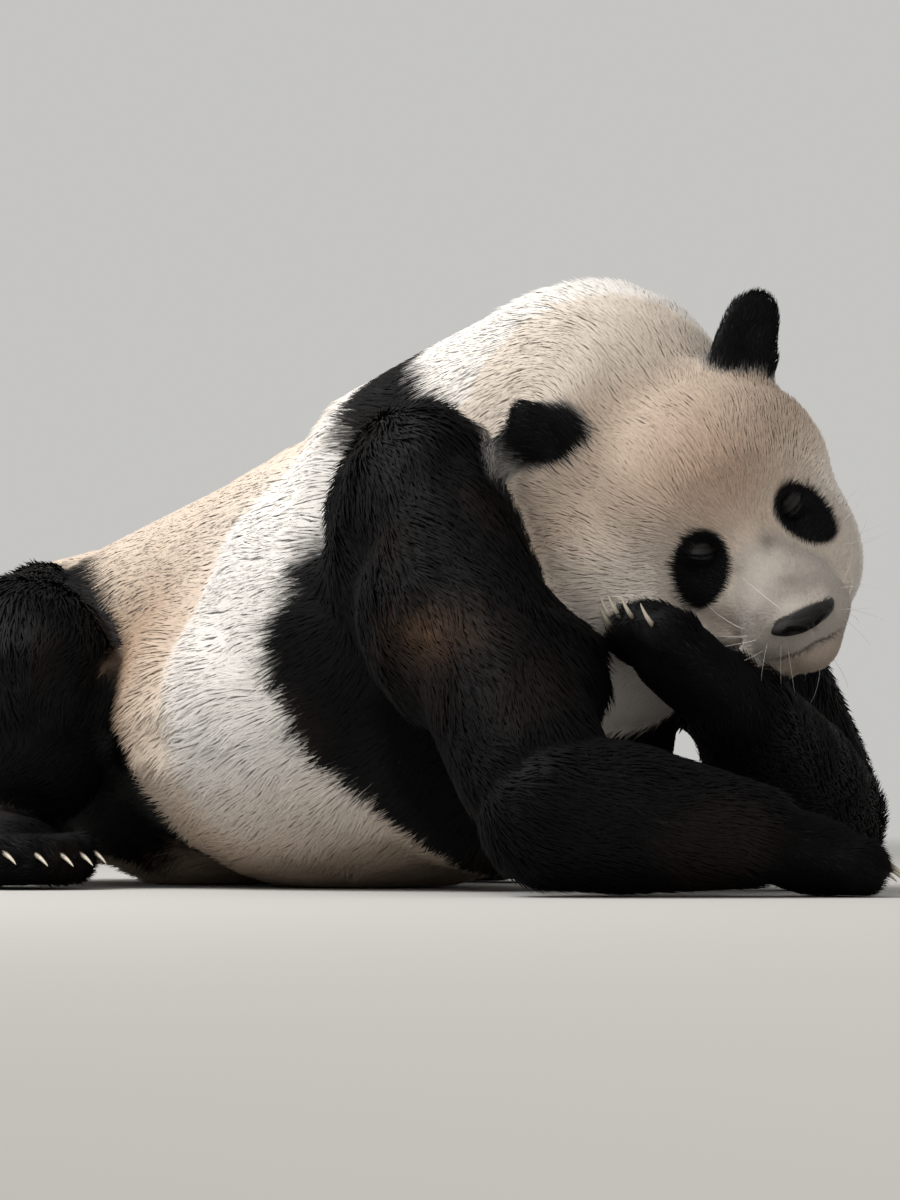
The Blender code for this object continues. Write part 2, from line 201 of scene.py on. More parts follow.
# %% [markdown]
# ## The head's own axes
# The head is tilted, nodded and turned, so its marks are placed in axes of its own:
# x forward out of the face, y to the animal's left, z to the crown, all from a point just
# below the middle between the eyes. The axes come from three solids: the two eyes and the
# nose.

# %% Head axes
EYE_FORWARD = 0.003      # the eyes lie this far in front of the head's origin
EYE_UP = 0.011
NOSE_FORWARD = 0.097
NOSE_UP = -0.071
NOSE_DROP = 0.0022       # the bare pad sits this much lower than its solid


def middle(node):
    low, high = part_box(node)
    return (Vector(low) + Vector(high)) / 2


eye_middle = (middle("eye_left") + middle("eye_right")) / 2
left_axis = (middle("eye_left") - middle("eye_right")).normalized()
down_nose = middle("nose") - eye_middle
down_nose = (down_nose - left_axis * down_nose.dot(left_axis)).normalized()
slope = atan2(EYE_UP - NOSE_UP, NOSE_FORWARD - EYE_FORWARD)
forward_axis = Matrix.Rotation(-slope, 3, left_axis) @ down_nose
up_axis = forward_axis.cross(left_axis)
head_turn = Matrix((forward_axis, left_axis, up_axis)).transposed()
head_place = head_turn.to_4x4()
head_place.translation = eye_middle - head_turn @ Vector((EYE_FORWARD, 0, EYE_UP))
eye_half_gap = (middle("eye_left") - middle("eye_right")).length / 2
print("head's forward", tuple(round(c, 2) for c in forward_axis))
print("head's up", tuple(round(c, 2) for c in up_axis))


def in_head(points):
    """Places in the head's axes, for an array of places in the room's."""
    return (points - np.array(head_place.translation)) @ np.array(head_turn)


def from_head(points):
    """The way back, from the head's axes to the room's."""
    return points @ np.array(head_turn).T + np.array(head_place.translation)


# %% [markdown]
# ## One skin for all the flesh
# The solids are parted where a person would name them, but an animal has one skin. The
# fleshy solids are copied, swollen by a millimetre so that their gaps close, joined, and
# remeshed on one even grid. The eyes and nose are in the join too, so that no pit is left
# under them. A smooth pass takes the facets out.

# %% The parts of the body
TRUNK = ["head", "jaw", "neck", "chest", "belly", "rump", "tail"]
PAIRED = ["ear", "upper_arm", "forearm", "forepaw", "thigh", "shank", "hind_foot"]
FLESH = TRUNK + [f"{part}_{side}" for part in PAIRED for side in SIDES]
UNDER_SKIN = FLESH + ["eye_left", "eye_right", "nose"]
SWELL = 0.001
GRID = 0.0062
print("flesh solids:", len(FLESH))


def merged_copy(node):
    """The node's corners joined up, in a bmesh of its own."""
    bm = bmesh.new()
    bm.from_mesh(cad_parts[node].data)
    bmesh.ops.remove_doubles(bm, verts=bm.verts, dist=1e-5)
    bm.normal_update()
    return bm


def link_mesh(name, bm):
    mesh = bpy.data.meshes.new(name)
    bm.to_mesh(mesh)
    bm.free()
    made = bpy.data.objects.new(name, mesh)
    bpy.context.scene.collection.objects.link(made)
    return made


def apply_modifiers(obj):
    graph = bpy.context.evaluated_depsgraph_get()
    graph.update()
    mesh = bpy.data.meshes.new_from_object(obj.evaluated_get(graph))
    obj.modifiers.clear()
    old, obj.data = obj.data, mesh
    bpy.data.meshes.remove(old)
    return obj


# %% Join and remesh
def joined_flesh():
    whole = bmesh.new()
    for node in UNDER_SKIN:
        bm = merged_copy(node)
        outward = [vert.normal.copy() for vert in bm.verts]
        for vert, normal in zip(bm.verts, outward):
            vert.co += normal * SWELL
        part = bpy.data.meshes.new("part")
        bm.to_mesh(part)
        bm.free()
        whole.from_mesh(part)
        bpy.data.meshes.remove(part)
    made = link_mesh("skin", whole)
    remesh = made.modifiers.new("grid", "REMESH")
    remesh.mode = "VOXEL"
    remesh.voxel_size = GRID
    smooth = made.modifiers.new("smooth", "SMOOTH")
    smooth.factor = 0.5
    smooth.iterations = 14
    return apply_modifiers(made)


skin = joined_flesh()
print("skin grid:", len(skin.data.vertices), "points")

# %% [markdown]
# The face needs a finer grid than the back. The faces near it are cut in half, those near
# the eyes and mouth again, and those on the lids once more. Each cut is followed by a
# light smoothing of the new points only, so that the finer grid is rounder too.

# %% A finer grid on the face
FACE_MIDDLE = (0.020, 0.0, -0.040)
CHIN = (0.070, 0.0, -0.105)
NOSE_TIP = (NOSE_FORWARD, 0.0, NOSE_UP)
EYES = [(EYE_FORWARD, eye_half_gap, EYE_UP), (EYE_FORWARD, -eye_half_gap, EYE_UP)]
FINER = [([FACE_MIDDLE], 0.120), (EYES, 0.040), ([NOSE_TIP, CHIN], 0.050), (EYES, 0.026)]
SMOOTHED_REACH = 0.97    # the rim of a cut area stays put, so that it meets the coarse grid
SMOOTHING = 0.4


def refine(obj, centres, radius):
    places = [Vector(from_head(np.array(centre))) for centre in centres]
    bm = bmesh.new()
    bm.from_mesh(obj.data)

    def within(reach):
        return [v for v in bm.verts if min((v.co - place).length for place in places) < reach]

    near = set(within(radius))
    edges = [e for e in bm.edges if e.verts[0] in near and e.verts[1] in near]
    bmesh.ops.subdivide_edges(bm, edges=edges, cuts=1, use_grid_fill=True)
    fresh = within(radius * SMOOTHED_REACH)
    for _ in range(3):
        bmesh.ops.smooth_vert(bm, verts=fresh, factor=SMOOTHING,
                              use_axis_x=True, use_axis_y=True, use_axis_z=True)
    bmesh.ops.triangulate(bm, faces=[f for f in bm.faces if len(f.verts) > 4])
    bm.to_mesh(obj.data)
    bm.free()


for centres, radius in FINER:
    refine(skin, centres, radius)
print("after the finer face:", len(skin.data.vertices), "points")


# %% [markdown]
# ## Fields on the skin
# Length of hair, its lie and its colour change from place to place. Each is worked out for
# every point of the skin as an array, and blurred along the edges of the grid, so that
# one part of the body runs into the next with no line between them.

# %% Arrays of the skin
def points_of(obj):
    flat = np.empty(len(obj.data.vertices) * 3)
    obj.data.vertices.foreach_get("co", flat)
    return flat.reshape(-1, 3)


def move_points(obj, places):
    obj.data.vertices.foreach_set("co", places.astype(np.float32).ravel())
    obj.data.update()


def normals_of(obj):
    flat = np.empty(len(obj.data.vertices) * 3, dtype=np.float32)
    obj.data.vertex_normals.foreach_get("vector", flat)
    return flat.reshape(-1, 3).astype(float)


def unit(vectors):
    return vectors / np.maximum(np.linalg.norm(vectors, axis=1, keepdims=True), 1e-9)


edges = np.empty(len(skin.data.edges) * 2, dtype=np.int32)
skin.data.edges.foreach_get("vertices", edges)
edges = edges.reshape(-1, 2)
neighbours = np.bincount(edges.ravel(), minlength=len(skin.data.vertices)).astype(float)


def blur(field, rounds):
    """Each point moves halfway to the mean of its neighbours, again and again."""
    field = np.array(field, dtype=float)
    columns = field.reshape(len(field), -1)
    for _ in range(rounds):
        for k in range(columns.shape[1]):
            total = np.bincount(edges[:, 0], columns[edges[:, 1], k], len(columns))
            total += np.bincount(edges[:, 1], columns[edges[:, 0], k], len(columns))
            columns[:, k] = 0.5 * columns[:, k] + 0.5 * total / neighbours
    return columns.reshape(field.shape)


def step_up(x, low, high):
    """0 below low, 1 above high, and a smooth rise between them."""
    t = np.clip((x - low) / (high - low), 0, 1)
    return t * t * (3 - 2 * t)


def bump(distance, width):
    """1 at no distance, and nothing beyond about twice the width."""
    return np.exp(-((distance / width) ** 2))


# %% Which part of the body each point belongs to
def nearest_parts(obj, nodes):
    corners, triangles, owner = [], [], []
    for number, node in enumerate(nodes):
        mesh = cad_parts[node].data
        mesh.calc_loop_triangles()
        start = len(corners)
        corners += [v.co for v in mesh.vertices]
        for triangle in mesh.loop_triangles:
            triangles.append([start + i for i in triangle.vertices])
            owner.append(number)
    tree = BVHTree.FromPolygons(corners, triangles)
    return np.array([owner[tree.find_nearest(v.co)[2]] for v in obj.data.vertices])


part_number = nearest_parts(skin, FLESH)
print("points on the head:", int((part_number == FLESH.index("head")).sum()))


def on(*names):
    """1 on the named parts and 0 elsewhere."""
    wanted = [FLESH.index(n) for n in FLESH if n in names or n.rsplit("_", 1)[0] in names]
    return np.isin(part_number, wanted).astype(float)


# %% [markdown]
# ## Length and depth of the coat
# A panda's coat is dense and springy: some 4 cm long on the trunk and the upper legs, half
# that on the feet, and only millimetres on the muzzle, from where it gets longer over the
# face. Hair lies back along the body, so the coat is far less deep than it is long. The
# skin goes inside the solids by that depth.

# %% Coat sizes of each part: depth on the skin, length of a tuft, both in metres
COAT = {
    "head": (0.0050, 0.025), "jaw": (0.0030, 0.012), "neck": (0.0065, 0.036),
    "chest": (0.0065, 0.038), "belly": (0.0070, 0.042), "rump": (0.0070, 0.042),
    "tail": (0.0085, 0.040), "ear": (0.0035, 0.012),
    "upper_arm": (0.0060, 0.034), "forearm": (0.0055, 0.030), "forepaw": (0.0040, 0.020),
    "thigh": (0.0065, 0.038), "shank": (0.0060, 0.032), "hind_foot": (0.0035, 0.016),
}
MUZZLE_DEPTH = 0.0015
MUZZLE_LENGTH = 0.0060
MUZZLE_MIDDLE = (0.07, 0, -0.07)
MUZZLE_REACH = 0.03      # the shortest hair ends this far from the muzzle's middle
FACE_REACH = 0.22        # and the full length of the head's coat starts here


def coat_sizes():
    depth = np.zeros(len(part_number))
    length = np.zeros(len(part_number))
    for number, name in enumerate(FLESH):
        kind = name if name in COAT else name.rsplit("_", 1)[0]
        here = part_number == number
        depth[here], length[here] = COAT[kind]
    on_face = on("head", "jaw")
    from_muzzle = np.linalg.norm(in_head(points_of(skin)) - MUZZLE_MIDDLE, axis=1)
    share = step_up(from_muzzle, MUZZLE_REACH, FACE_REACH)
    face_depth = MUZZLE_DEPTH + (COAT["head"][0] - MUZZLE_DEPTH) * share
    face_length = MUZZLE_LENGTH + (COAT["head"][1] - MUZZLE_LENGTH) * share
    depth = np.where(on_face > 0, face_depth, depth)
    length = np.where(on_face > 0, face_length, length)
    return blur(depth, 14), blur(length, 14)


coat_depth, coat_length = coat_sizes()
move_points(skin, points_of(skin) - normals_of(skin) * coat_depth[:, None])
print("coat from", round(coat_length.min() * 1000), "to", round(coat_length.max() * 1000), "mm long")

# %% [markdown]
# ## Folds of the body
# Loose skin gathers where the body bends. A crease runs round the shoulder cap where the
# foreleg is drawn forward, and behind the ribs the full flank steps down to the hip. Both
# are soft grooves along a line of a few places: the nearer a point is, the deeper it
# goes. Head and neck run into each other, so the skin there is only smoothed. Each toe
# swells a little behind its claw.

# %% Grooves along a line
def distance_to_line(places, line):
    """How far each place is from a chain of straight runs, and how far along it (0 to 1)."""
    best = np.full(len(places), 1e9)
    along = np.zeros(len(places))
    runs = len(line) - 1
    for k in range(runs):
        a, b = np.array(line[k]), np.array(line[k + 1])
        t = np.clip(((places - a) @ (b - a)) / ((b - a) @ (b - a)), 0, 1)
        away = np.linalg.norm(places - (a + t[:, None] * (b - a)), axis=1)
        nearer = away < best
        best[nearer] = away[nearer]
        along[nearer] = (k + t[nearer]) / runs
    return best, along


def groove(line, width, depth, fade=0.15):
    """Pushes the skin in along a line, less and less towards both ends of it."""
    away, along = distance_to_line(points_of(skin), line)
    ends = step_up(along, 0, fade) * (1 - step_up(along, 1 - fade, 1))
    move_points(skin, points_of(skin) - normals_of(skin) * (bump(away, width) * depth * ends)[:, None])


def rib_line(side, shift):
    """Where the full flank ends and the hip begins, moved forward by the shift."""
    line = []
    for z in np.linspace(RIBS_TOP, RIBS_FOOT, 7):
        below = RIBS_TOP - z
        x = 0.075 - 0.105 * step_up(below, 0.0, 0.16) + shift
        y = 0.120 + 0.135 * step_up(below, 0.0, 0.25)
        line.append((x, side * y, z))
    return line


def soften(share, rounds):
    """Draws points to their neighbours' average, wholly where share is 1."""
    even = blur(points_of(skin), rounds)
    move_points(skin, points_of(skin) + (even - points_of(skin)) * share[:, None])


def bulge(centre, width, height):
    """Pushes the skin out round one place."""
    away = np.linalg.norm(points_of(skin) - np.array(centre), axis=1)
    move_points(skin, points_of(skin) + normals_of(skin) * (bump(away, width) * height)[:, None])


# %% Folds of the shoulder, nape, toes and ribs
SHOULDER_CREASE = [(0.190, -0.120, 0.525), (0.150, -0.150, 0.495), (0.130, -0.172, 0.455),
                   (0.136, -0.196, 0.405), (0.165, -0.225, 0.340)]
RIBS_TOP = 0.50
RIBS_FOOT = 0.12
PAWS = [f"{kind}_{side}" for kind in ("forepaw", "hind_foot") for side in SIDES]
CLAW_NUMBERS = range(1, 6)
TOE_BEHIND_CLAW = 0.016

groove(SHOULDER_CREASE, 0.016, 0.013)
groove([(x, -y, z) for x, y, z in SHOULDER_CREASE], 0.016, 0.013)

nape = blur(on("neck"), 16) * blur(on("head"), 16) * 4
soften(np.clip(nape, 0, 1), 10)

for paw in PAWS:
    for number in CLAW_NUMBERS:
        claw = middle(f"{paw}_claw_{number}")
        inward = (middle(paw) - claw).normalized()
        bulge(claw + inward * TOE_BEHIND_CLAW, 0.0085, 0.0045)

for side in (1, -1):
    behind = rib_line(side, -0.022)
    ahead = rib_line(side, 0.030)
    groove(behind, width=0.026, depth=0.011)
    groove(ahead, width=0.038, depth=-0.004, fade=0.40)
print("folds sculpted")

# %% [markdown]
# ## The sleeping face
# The eyes are shut. Each lid is the skin drawn over the ball of the eye: points near the
# eye are put on a ball a little larger than it. The slit between the lids is a fine
# groove that sags in the middle and slants down to the nose, with a rim either side, and
# the upper lid folds along a second, shallower line. The muzzle has its own folds: a
# crease where it meets the brow, lip pads with a cleft below the nose, and the mouth.

# %% Measures of the eyes, in the head's axes
EYE_RADIUS = 0.0115
LID_THICKNESS = 0.0022
LID_BEHIND = 0.010       # nothing further back than this behind the eye is moved
LID_SKIRT = 0.45         # the lid ends this share of its radius in front of the eye
LID_REACH = (0.72, 1.55)     # in radii of the lid: wholly on the ball, and wholly off it
SLIT_HALF = 0.0165
SLIT_ENDS = (0.75, 1.05)     # in halves of the slit: where it starts to close, and is closed
SLIT_SLANT = radians(19)
SLIT_SAG = 0.0022
SLIT_WIDTH = 0.0011
SLIT_DEPTH = 0.0030
RIM_OFF_SLIT = 0.0026
RIM_WIDTH = 0.0012
RIM_HEIGHT = 0.0007
FOLD_RISE = 0.0090       # the fold of the upper lid, above the slit
FOLD_HALF = SLIT_HALF * 1.2
FOLD_DROOP = 0.6         # at its ends the fold is this share lower
FOLD_ENDS = (0.010, 0.018)
FOLD_WIDTH = 0.0016
FOLD_DEPTH = 0.0014


def eye_plane(head_points, side):
    """Places seen from in front of an eye: how far along the slit, inward, and how far up."""
    y = (head_points[:, 1] - side * eye_half_gap) * -side
    z = head_points[:, 2] - EYE_UP
    along = y * cos(SLIT_SLANT) - z * sin(SLIT_SLANT)
    up = y * sin(SLIT_SLANT) + z * cos(SLIT_SLANT)
    return along, up


def slit_height(along):
    """Height of the slit at each place along it, which sags in the middle."""
    return -SLIT_SAG * (1 - (along / SLIT_HALF) ** 2)


def sculpt_eye(side):
    """Puts the lids on the ball and cuts the slit. Gives each point's share of the slit."""
    places = in_head(points_of(skin))
    along, up = eye_plane(places, side)
    from_eye = np.hypot(along, up)
    off_middle = np.abs(along)
    front = places[:, 0] > EYE_FORWARD - LID_BEHIND

    ball = EYE_RADIUS + LID_THICKNESS
    on_ball = EYE_FORWARD + np.sqrt(np.maximum(ball**2 - from_eye**2, 0))
    lid = np.maximum(on_ball, EYE_FORWARD + ball * LID_SKIRT)
    share = (1 - step_up(from_eye, ball * LID_REACH[0], ball * LID_REACH[1])) * front
    places[:, 0] += (lid - places[:, 0]) * share

    inside = off_middle < SLIT_HALF * SLIT_ENDS[1]
    ends = 1 - step_up(off_middle, SLIT_HALF * SLIT_ENDS[0], SLIT_HALF * SLIT_ENDS[1])
    off_slit = up - slit_height(along)
    dent = bump(off_slit, SLIT_WIDTH) * SLIT_DEPTH * ends
    rim = bump(np.abs(off_slit) - RIM_OFF_SLIT, RIM_WIDTH) * RIM_HEIGHT * ends
    fold_line = slit_height(along) + FOLD_RISE * (1 - FOLD_DROOP * (along / FOLD_HALF) ** 2)
    fold = bump(up - fold_line, FOLD_WIDTH) * FOLD_DEPTH * (1 - step_up(off_middle, *FOLD_ENDS))
    places[:, 0] += (rim - dent - fold) * inside * front
    move_points(skin, from_head(places))
    return dent * inside * front / SLIT_DEPTH


slit_share = np.maximum(sculpt_eye(1), sculpt_eye(-1))
print("points in the slits:", int((slit_share > 0.5).sum()))


# %% Mouth, lips, chin and creases of the face
MOUTH_HEIGHT = -0.1050
MOUTH_SLOPE = radians(6)
MOUTH_ASIDE = 0.006      # the mouth's line reaches this much further to the right
BROW_CREASE = [(0.026, 0.016, 0.004), (0.036, 0.008, -0.006), (0.050, 0.004, -0.016)]
CHEEK_CREASE = [(0.030, 0.034, -0.020), (0.036, 0.046, -0.050), (0.040, 0.052, -0.080)]
MUZZLE_RELIEF = {"mouth": -0.0040, "cleft": -0.0022, "lip pads": 0.0025, "chin": 0.0020,
                 "brow crease": -0.0022, "cheek crease": -0.0022}
JOWL = (0.006, 0.061, -0.084)
JOWL_WIDTH = 0.019
JOWL_FORWARD = 0.016
JOWL_OUT = 0.004


def mirrored(places):
    """The animal's right half laid over its left."""
    return np.column_stack([places[:, 0], np.abs(places[:, 1]), places[:, 2]])


def mouth_height(x):
    return MOUTH_HEIGHT - np.tan(MOUTH_SLOPE) * (x - 0.05)


def muzzle_shares(places):
    """How much each point belongs to each form of the muzzle, from 0 to 1."""
    x, y, z = places.T
    lip_gap = np.abs(z - mouth_height(x) - 0.003 * bump(y, 0.010) * step_up(x, 0.06, 0.08))
    from_brow, _ = distance_to_line(places, BROW_CREASE)
    from_cheek, _ = distance_to_line(mirrored(places), CHEEK_CREASE)
    return {
        "mouth": (bump(lip_gap, 0.0024) * step_up(x, 0.040, 0.060)
                  * (1 - step_up(np.abs(y + MOUTH_ASIDE), 0.026, 0.040))),
        "cleft": (bump(y, 0.0018) * step_up(x, 0.06, 0.08) * step_up(z, -0.096, -0.090)
                  * (1 - step_up(z, -0.082, -0.078))),
        "lip pads": bump(np.hypot(np.abs(y) - 0.022, z + 0.088), 0.016) * step_up(x, 0.04, 0.06),
        "chin": bump(np.hypot(y, z + 0.122), 0.020) * step_up(x, 0.03, 0.05),
        "brow crease": bump(from_brow, 0.0045),
        "cheek crease": bump(from_cheek, 0.009),
    }


def sculpt_muzzle():
    places = in_head(points_of(skin))
    outward = normals_of(skin) @ np.array(head_turn)
    shares = muzzle_shares(places)
    places += outward * sum(height * shares[form] for form, height in MUZZLE_RELIEF.items())[:, None]
    jowl = bump(np.linalg.norm(mirrored(places) - JOWL, axis=1), JOWL_WIDTH)
    places[:, 0] += JOWL_FORWARD * jowl
    places[:, 1] += JOWL_OUT * jowl * np.sign(places[:, 1])
    move_points(skin, from_head(places))
    return shares["mouth"]


mouth_share = sculpt_muzzle()
print("points in the mouth line:", int((mouth_share > 0.5).sum()))


# %% Ears: hollow in front, the left one upright, the right one pressed to the neck
EAR_HOLLOW_WIDTH = 0.022
EAR_HOLLOW_DEPTH = 0.010
EAR_LEAN = 0.008         # the left ear's rim leans outward by this
EAR_BROADER = 0.10
EAR_TUCK = 0.022         # the right ear is pressed in against the neck by this
EAR_TALLER = 0.20


def hollow_ear(side):
    here = on(f"ear_{side}") > 0
    blended = blur(here, 4)
    centre = np.array(middle(f"ear_{side}"))
    forward = np.array(forward_axis)
    up = np.array(up_axis)
    out = np.array(left_axis) * (1 if side == "left" else -1)

    places = points_of(skin)
    facing = step_up(normals_of(skin) @ forward, 0.2, 0.8)
    offset = places - centre
    offset -= np.outer(offset @ forward, forward)
    inner = bump(np.linalg.norm(offset, axis=1), EAR_HOLLOW_WIDTH)
    places -= forward * (EAR_HOLLOW_DEPTH * inner * facing * here)[:, None]

    reach = (places - centre) @ out
    height = (places - centre) @ up
    if side == "left":
        share = step_up(height, -0.030, 0.030) * blended
        places += np.outer(share * (EAR_LEAN + reach * EAR_BROADER), out)
    else:
        places -= np.outer(step_up(reach, -0.030, 0.045) * blended * EAR_TUCK, out)
        places += np.outer(height * blended * EAR_TALLER, up)
    move_points(skin, places)


for side in SIDES:
    hollow_ear(side)
print("ears hollowed")

# %% [markdown]
# ## Lie of the coat
# Hair grows away from the nose, back over the head, along the back to the tail, down the
# flanks, and down each leg to the toes. So every part has a heading: the way from its own
# middle to the middle of the next part. Behind the head it is drawn in towards the neck,
# so that it lies down into the fold and doesn't stand out of it. The headings are laid
# flat on the skin, blurred where parts meet, and bent a little by a slow wave, which
# gives the coat its cowlicks.

# %% Headings of the parts
NEXT_PART = {"upper_arm": "forearm", "forearm": "forepaw", "thigh": "shank", "shank": "hind_foot"}
TRUNK_HEADING = Vector((-1.0, 0, -0.38))
OTHER_HEADINGS = {"neck": Vector((-1.0, 0, -0.45)), "tail": Vector((-0.5, 0, -1.0))}
HAIR_START = (0.108, -0.003, -0.078)     # hair of the head grows away from just before the nose
HAIR_DROP = 0.10
BACK_OF_HEAD = -0.08                     # hair further back than this is drawn to the neck
BACK_SOFTNESS = 0.06
NECK_PULL = 1.6
WAVE_SIZE = 0.055
WAVE_TURN = radians(34)
RIPPLE = 2.7             # a second wave, this much finer and half as strong


def claw_middle(paw):
    tips = [middle(f"{paw}_claw_{number}") for number in CLAW_NUMBERS]
    return sum(tips, Vector()) / len(tips)


def heading(name):
    kind, _, side = name.rpartition("_")
    if kind in NEXT_PART:
        return middle(f"{NEXT_PART[kind]}_{side}") - middle(name)
    if name in PAWS:
        return claw_middle(name) - middle(name)
    if kind == "ear":
        return middle(name) - middle("head")
    return OTHER_HEADINGS.get(name, TRUNK_HEADING)


def heading_on_head(places):
    """Away from the nose, a little downward, and towards the neck behind the head."""
    head_points = in_head(places)
    away = unit(head_points - HAIR_START)
    away[:, 2] -= HAIR_DROP
    away = away @ np.array(head_turn).T
    behind = step_up(BACK_OF_HEAD - head_points[:, 0], 0.0, BACK_SOFTNESS)[:, None]
    return unit(away + unit(np.array(middle("neck")) - places) * behind * NECK_PULL)


def lie_of_coat():
    places = points_of(skin)
    lie = np.zeros_like(places)
    for number, name in enumerate(FLESH):
        lie[part_number == number] = np.array(heading(name).normalized())
    face = on("head", "jaw")[:, None]
    lie = lie * (1 - face) + heading_on_head(places) * face
    outward = normals_of(skin)
    lie = blur(lie, 10)
    lie -= outward * np.sum(lie * outward, axis=1, keepdims=True)
    lie = unit(lie)
    waves = [Vector(place) / WAVE_SIZE for place in places]
    turn = np.array([noise.noise(p) + 0.5 * noise.noise(p * RIPPLE) for p in waves]) * WAVE_TURN
    sideways = np.cross(outward, lie)
    return lie * np.cos(turn)[:, None] + sideways * np.sin(turn)[:, None]


coat_lie = lie_of_coat()
print("lie of the coat set")

# %% [markdown]
# ## Markings
# The pattern is the species' own. Black: the ears, the eye patches, the forelegs with a
# band that runs up over the shoulders, and the hind legs. The rest is white, warmed to
# cream, tan and grey on the hip, the underside, the neck and the face. These tints are
# partly the coat's own stain and thin hair, partly painted shade where those parts are
# turned from the light. Each mark is a share from 0 to 1 with a soft edge. The edges are
# broken by noise, because black and white hairs mix along them.

# %% Colours of hair, linear
WHITE = np.array((0.800, 0.770, 0.735))
CREAM = np.array((0.700, 0.600, 0.500))
TAN = np.array((0.480, 0.350, 0.245))
# tan of the crown: partly stain, partly painted shade
CROWN_TAN_AND_SHADE = np.array((0.350, 0.240, 0.165))
# tan of the forehead: partly stain, partly painted shade
FOREHEAD_TAN_AND_SHADE = np.array((0.560, 0.370, 0.265))
RUST = np.array((0.300, 0.170, 0.100))
# grey of the muzzle: partly its thin coat, partly painted shade
MUZZLE_GREY_AND_SHADE = np.array((0.380, 0.350, 0.325))
BLACK = np.array((0.0035, 0.0036, 0.0042))
BLACK_BROWN = np.array((0.020, 0.012, 0.008))
MOUTH_SKIN = np.array((0.060, 0.042, 0.034))
LID_SKIN = np.array((0.0065, 0.0055, 0.0052))


def speckle(places, size, shift=0.0):
    """Soft noise from about -1 to 1, at that size in metres."""
    move = Vector((shift, shift * 0.7, -shift))
    return np.array([noise.noise(Vector(p) / size + move) for p in places])


# %% Shares of the marks
PATCH_CENTRE = (0.0572, -0.0038)     # across and up, in the head's axes
PATCH_HALF = (0.0410, 0.0255)
PATCH_SLOPE = radians(61)            # its long axis runs down and out
PATCH_TAPER = 0.12                   # narrower by this at its outer end, and broader at the inner
PATCH_EDGE = (0.92, 1.06)
FRONT_OF_HEAD = -0.05
BAND_REAR_Z = (0.00, 0.05, 0.15, 0.265, 0.31, 0.40, 0.50, 0.62)
BAND_REAR_X = (0.22, 0.20, 0.13, 0.106, 0.131, 0.140, 0.112, 0.070)
BAND_FRONT_X = (0.10, 0.17, 0.285, 0.40, 0.47)
BAND_FRONT_Z = (0.66, 0.56, 0.497, 0.37, 0.25)
FLANK_EDGE_Z = (0.10, 0.27, 0.35, 0.39, 0.42, 0.46, 0.48)     # the hip starts behind this line; behind it the coat is painted cream and tan, partly stain, partly painted shade
FLANK_EDGE_X = (0.00, -0.006, -0.027, -0.012, 0.00, 0.027, 0.086)
LEG_EDGE_X = (-0.50, -0.38, -0.25, -0.20, -0.14, -0.09)
LEG_EDGE_Z = (0.40, 0.385, 0.335, 0.285, 0.225, 0.10)
LEG_START_X = -0.085
LEG_START_Y = (0.085, 0.125)         # no black between the hind legs, nearer the middle than this
THROAT_HEIGHT = -0.165               # the head is black below this, in its own axes
HIND_RAGGEDNESS = 1.6                # edges on the hind legs stray more than those of the band


def past_edge(distance, softness):
    """0 before an edge and 1 past it, with a rise twice as wide as the softness."""
    return step_up(distance, -softness, softness)


def eye_patches(head_points):
    share = np.zeros(len(head_points))
    half_length, half_width = PATCH_HALF
    for side in (1, -1):
        y = head_points[:, 1] * side - PATCH_CENTRE[0]
        z = head_points[:, 2] - PATCH_CENTRE[1]
        long = y * cos(PATCH_SLOPE) - z * sin(PATCH_SLOPE)
        wide = y * sin(PATCH_SLOPE) + z * cos(PATCH_SLOPE)
        width_here = half_width * (1 - PATCH_TAPER * long / half_length)
        reach = np.sqrt((long / half_length) ** 2 + (wide / width_here) ** 2)
        inside = (1 - step_up(reach, *PATCH_EDGE)) * (head_points[:, 0] > FRONT_OF_HEAD)
        share = np.maximum(share, inside)
    return share


def black_share(places, head_points):
    x, y, z = places.T
    # edges stray by up to 10 mm in waves of 20 mm, and by 5 mm in waves of 6 mm
    ragged = speckle(places, 0.020) * 0.010 + speckle(places, 0.006, 9.0) * 0.005
    band = past_edge(x - np.interp(z, BAND_REAR_Z, BAND_REAR_X) + ragged, 0.009)
    band = band * past_edge(np.interp(x, BAND_FRONT_X, BAND_FRONT_Z) - z + ragged, 0.012)
    band = band * (1 - on("head", "jaw", "ear"))
    throat = on("head", "jaw") * past_edge(THROAT_HEIGHT - head_points[:, 2] + ragged, 0.01)
    more_ragged = ragged * HIND_RAGGEDNESS
    leg = past_edge(np.interp(x, LEG_EDGE_X, LEG_EDGE_Z) - z + more_ragged, 0.024)
    leg *= step_up(np.abs(y) + more_ragged, *LEG_START_Y) * step_up(LEG_START_X - x, 0.0, 0.02)
    leg *= on("belly", "rump", "chest", "thigh", "shank")
    forelegs = blur(on("upper_arm", "forearm", "forepaw"), 2)
    hind_legs = step_up(blur(on("thigh", "shank", "hind_foot"), 10) + ragged * 14, 0.20, 0.85)
    ears = blur(on("ear"), 1)
    marks = [band, throat, leg, forelegs, hind_legs, ears, eye_patches(head_points)]
    return np.clip(np.max(marks, axis=0), 0, 1)


skin_points = points_of(skin)
head_points = in_head(skin_points)
black = black_share(skin_points, head_points)
print("black share of the points:", round(float(black.mean()), 2))


# %% Places of the warm tints
HAUNCH = (-0.11, -0.27, 0.28)        # rust brown on the right haunch: partly stain, partly painted shade
FORELEG_BROWN = (0.37, -0.26, 0.262)
BROW = (0.010, -0.008, 0.055)        # this and the next two are in the head's axes
NOSE_RIM = (0.085, 0, -0.045)
EYE_CORNER = (0.038, 0.010, -0.004)


def spot(points, centre, width, stretch=(1.0, 1.0, 1.0)):
    """1 at the centre and fading round it. Stretch makes it longer along an axis."""
    return bump(np.linalg.norm((points - centre) / stretch, axis=1), width)


def mix(colour, other, share):
    return colour + (other - colour) * np.clip(share, 0, 1)[:, None]


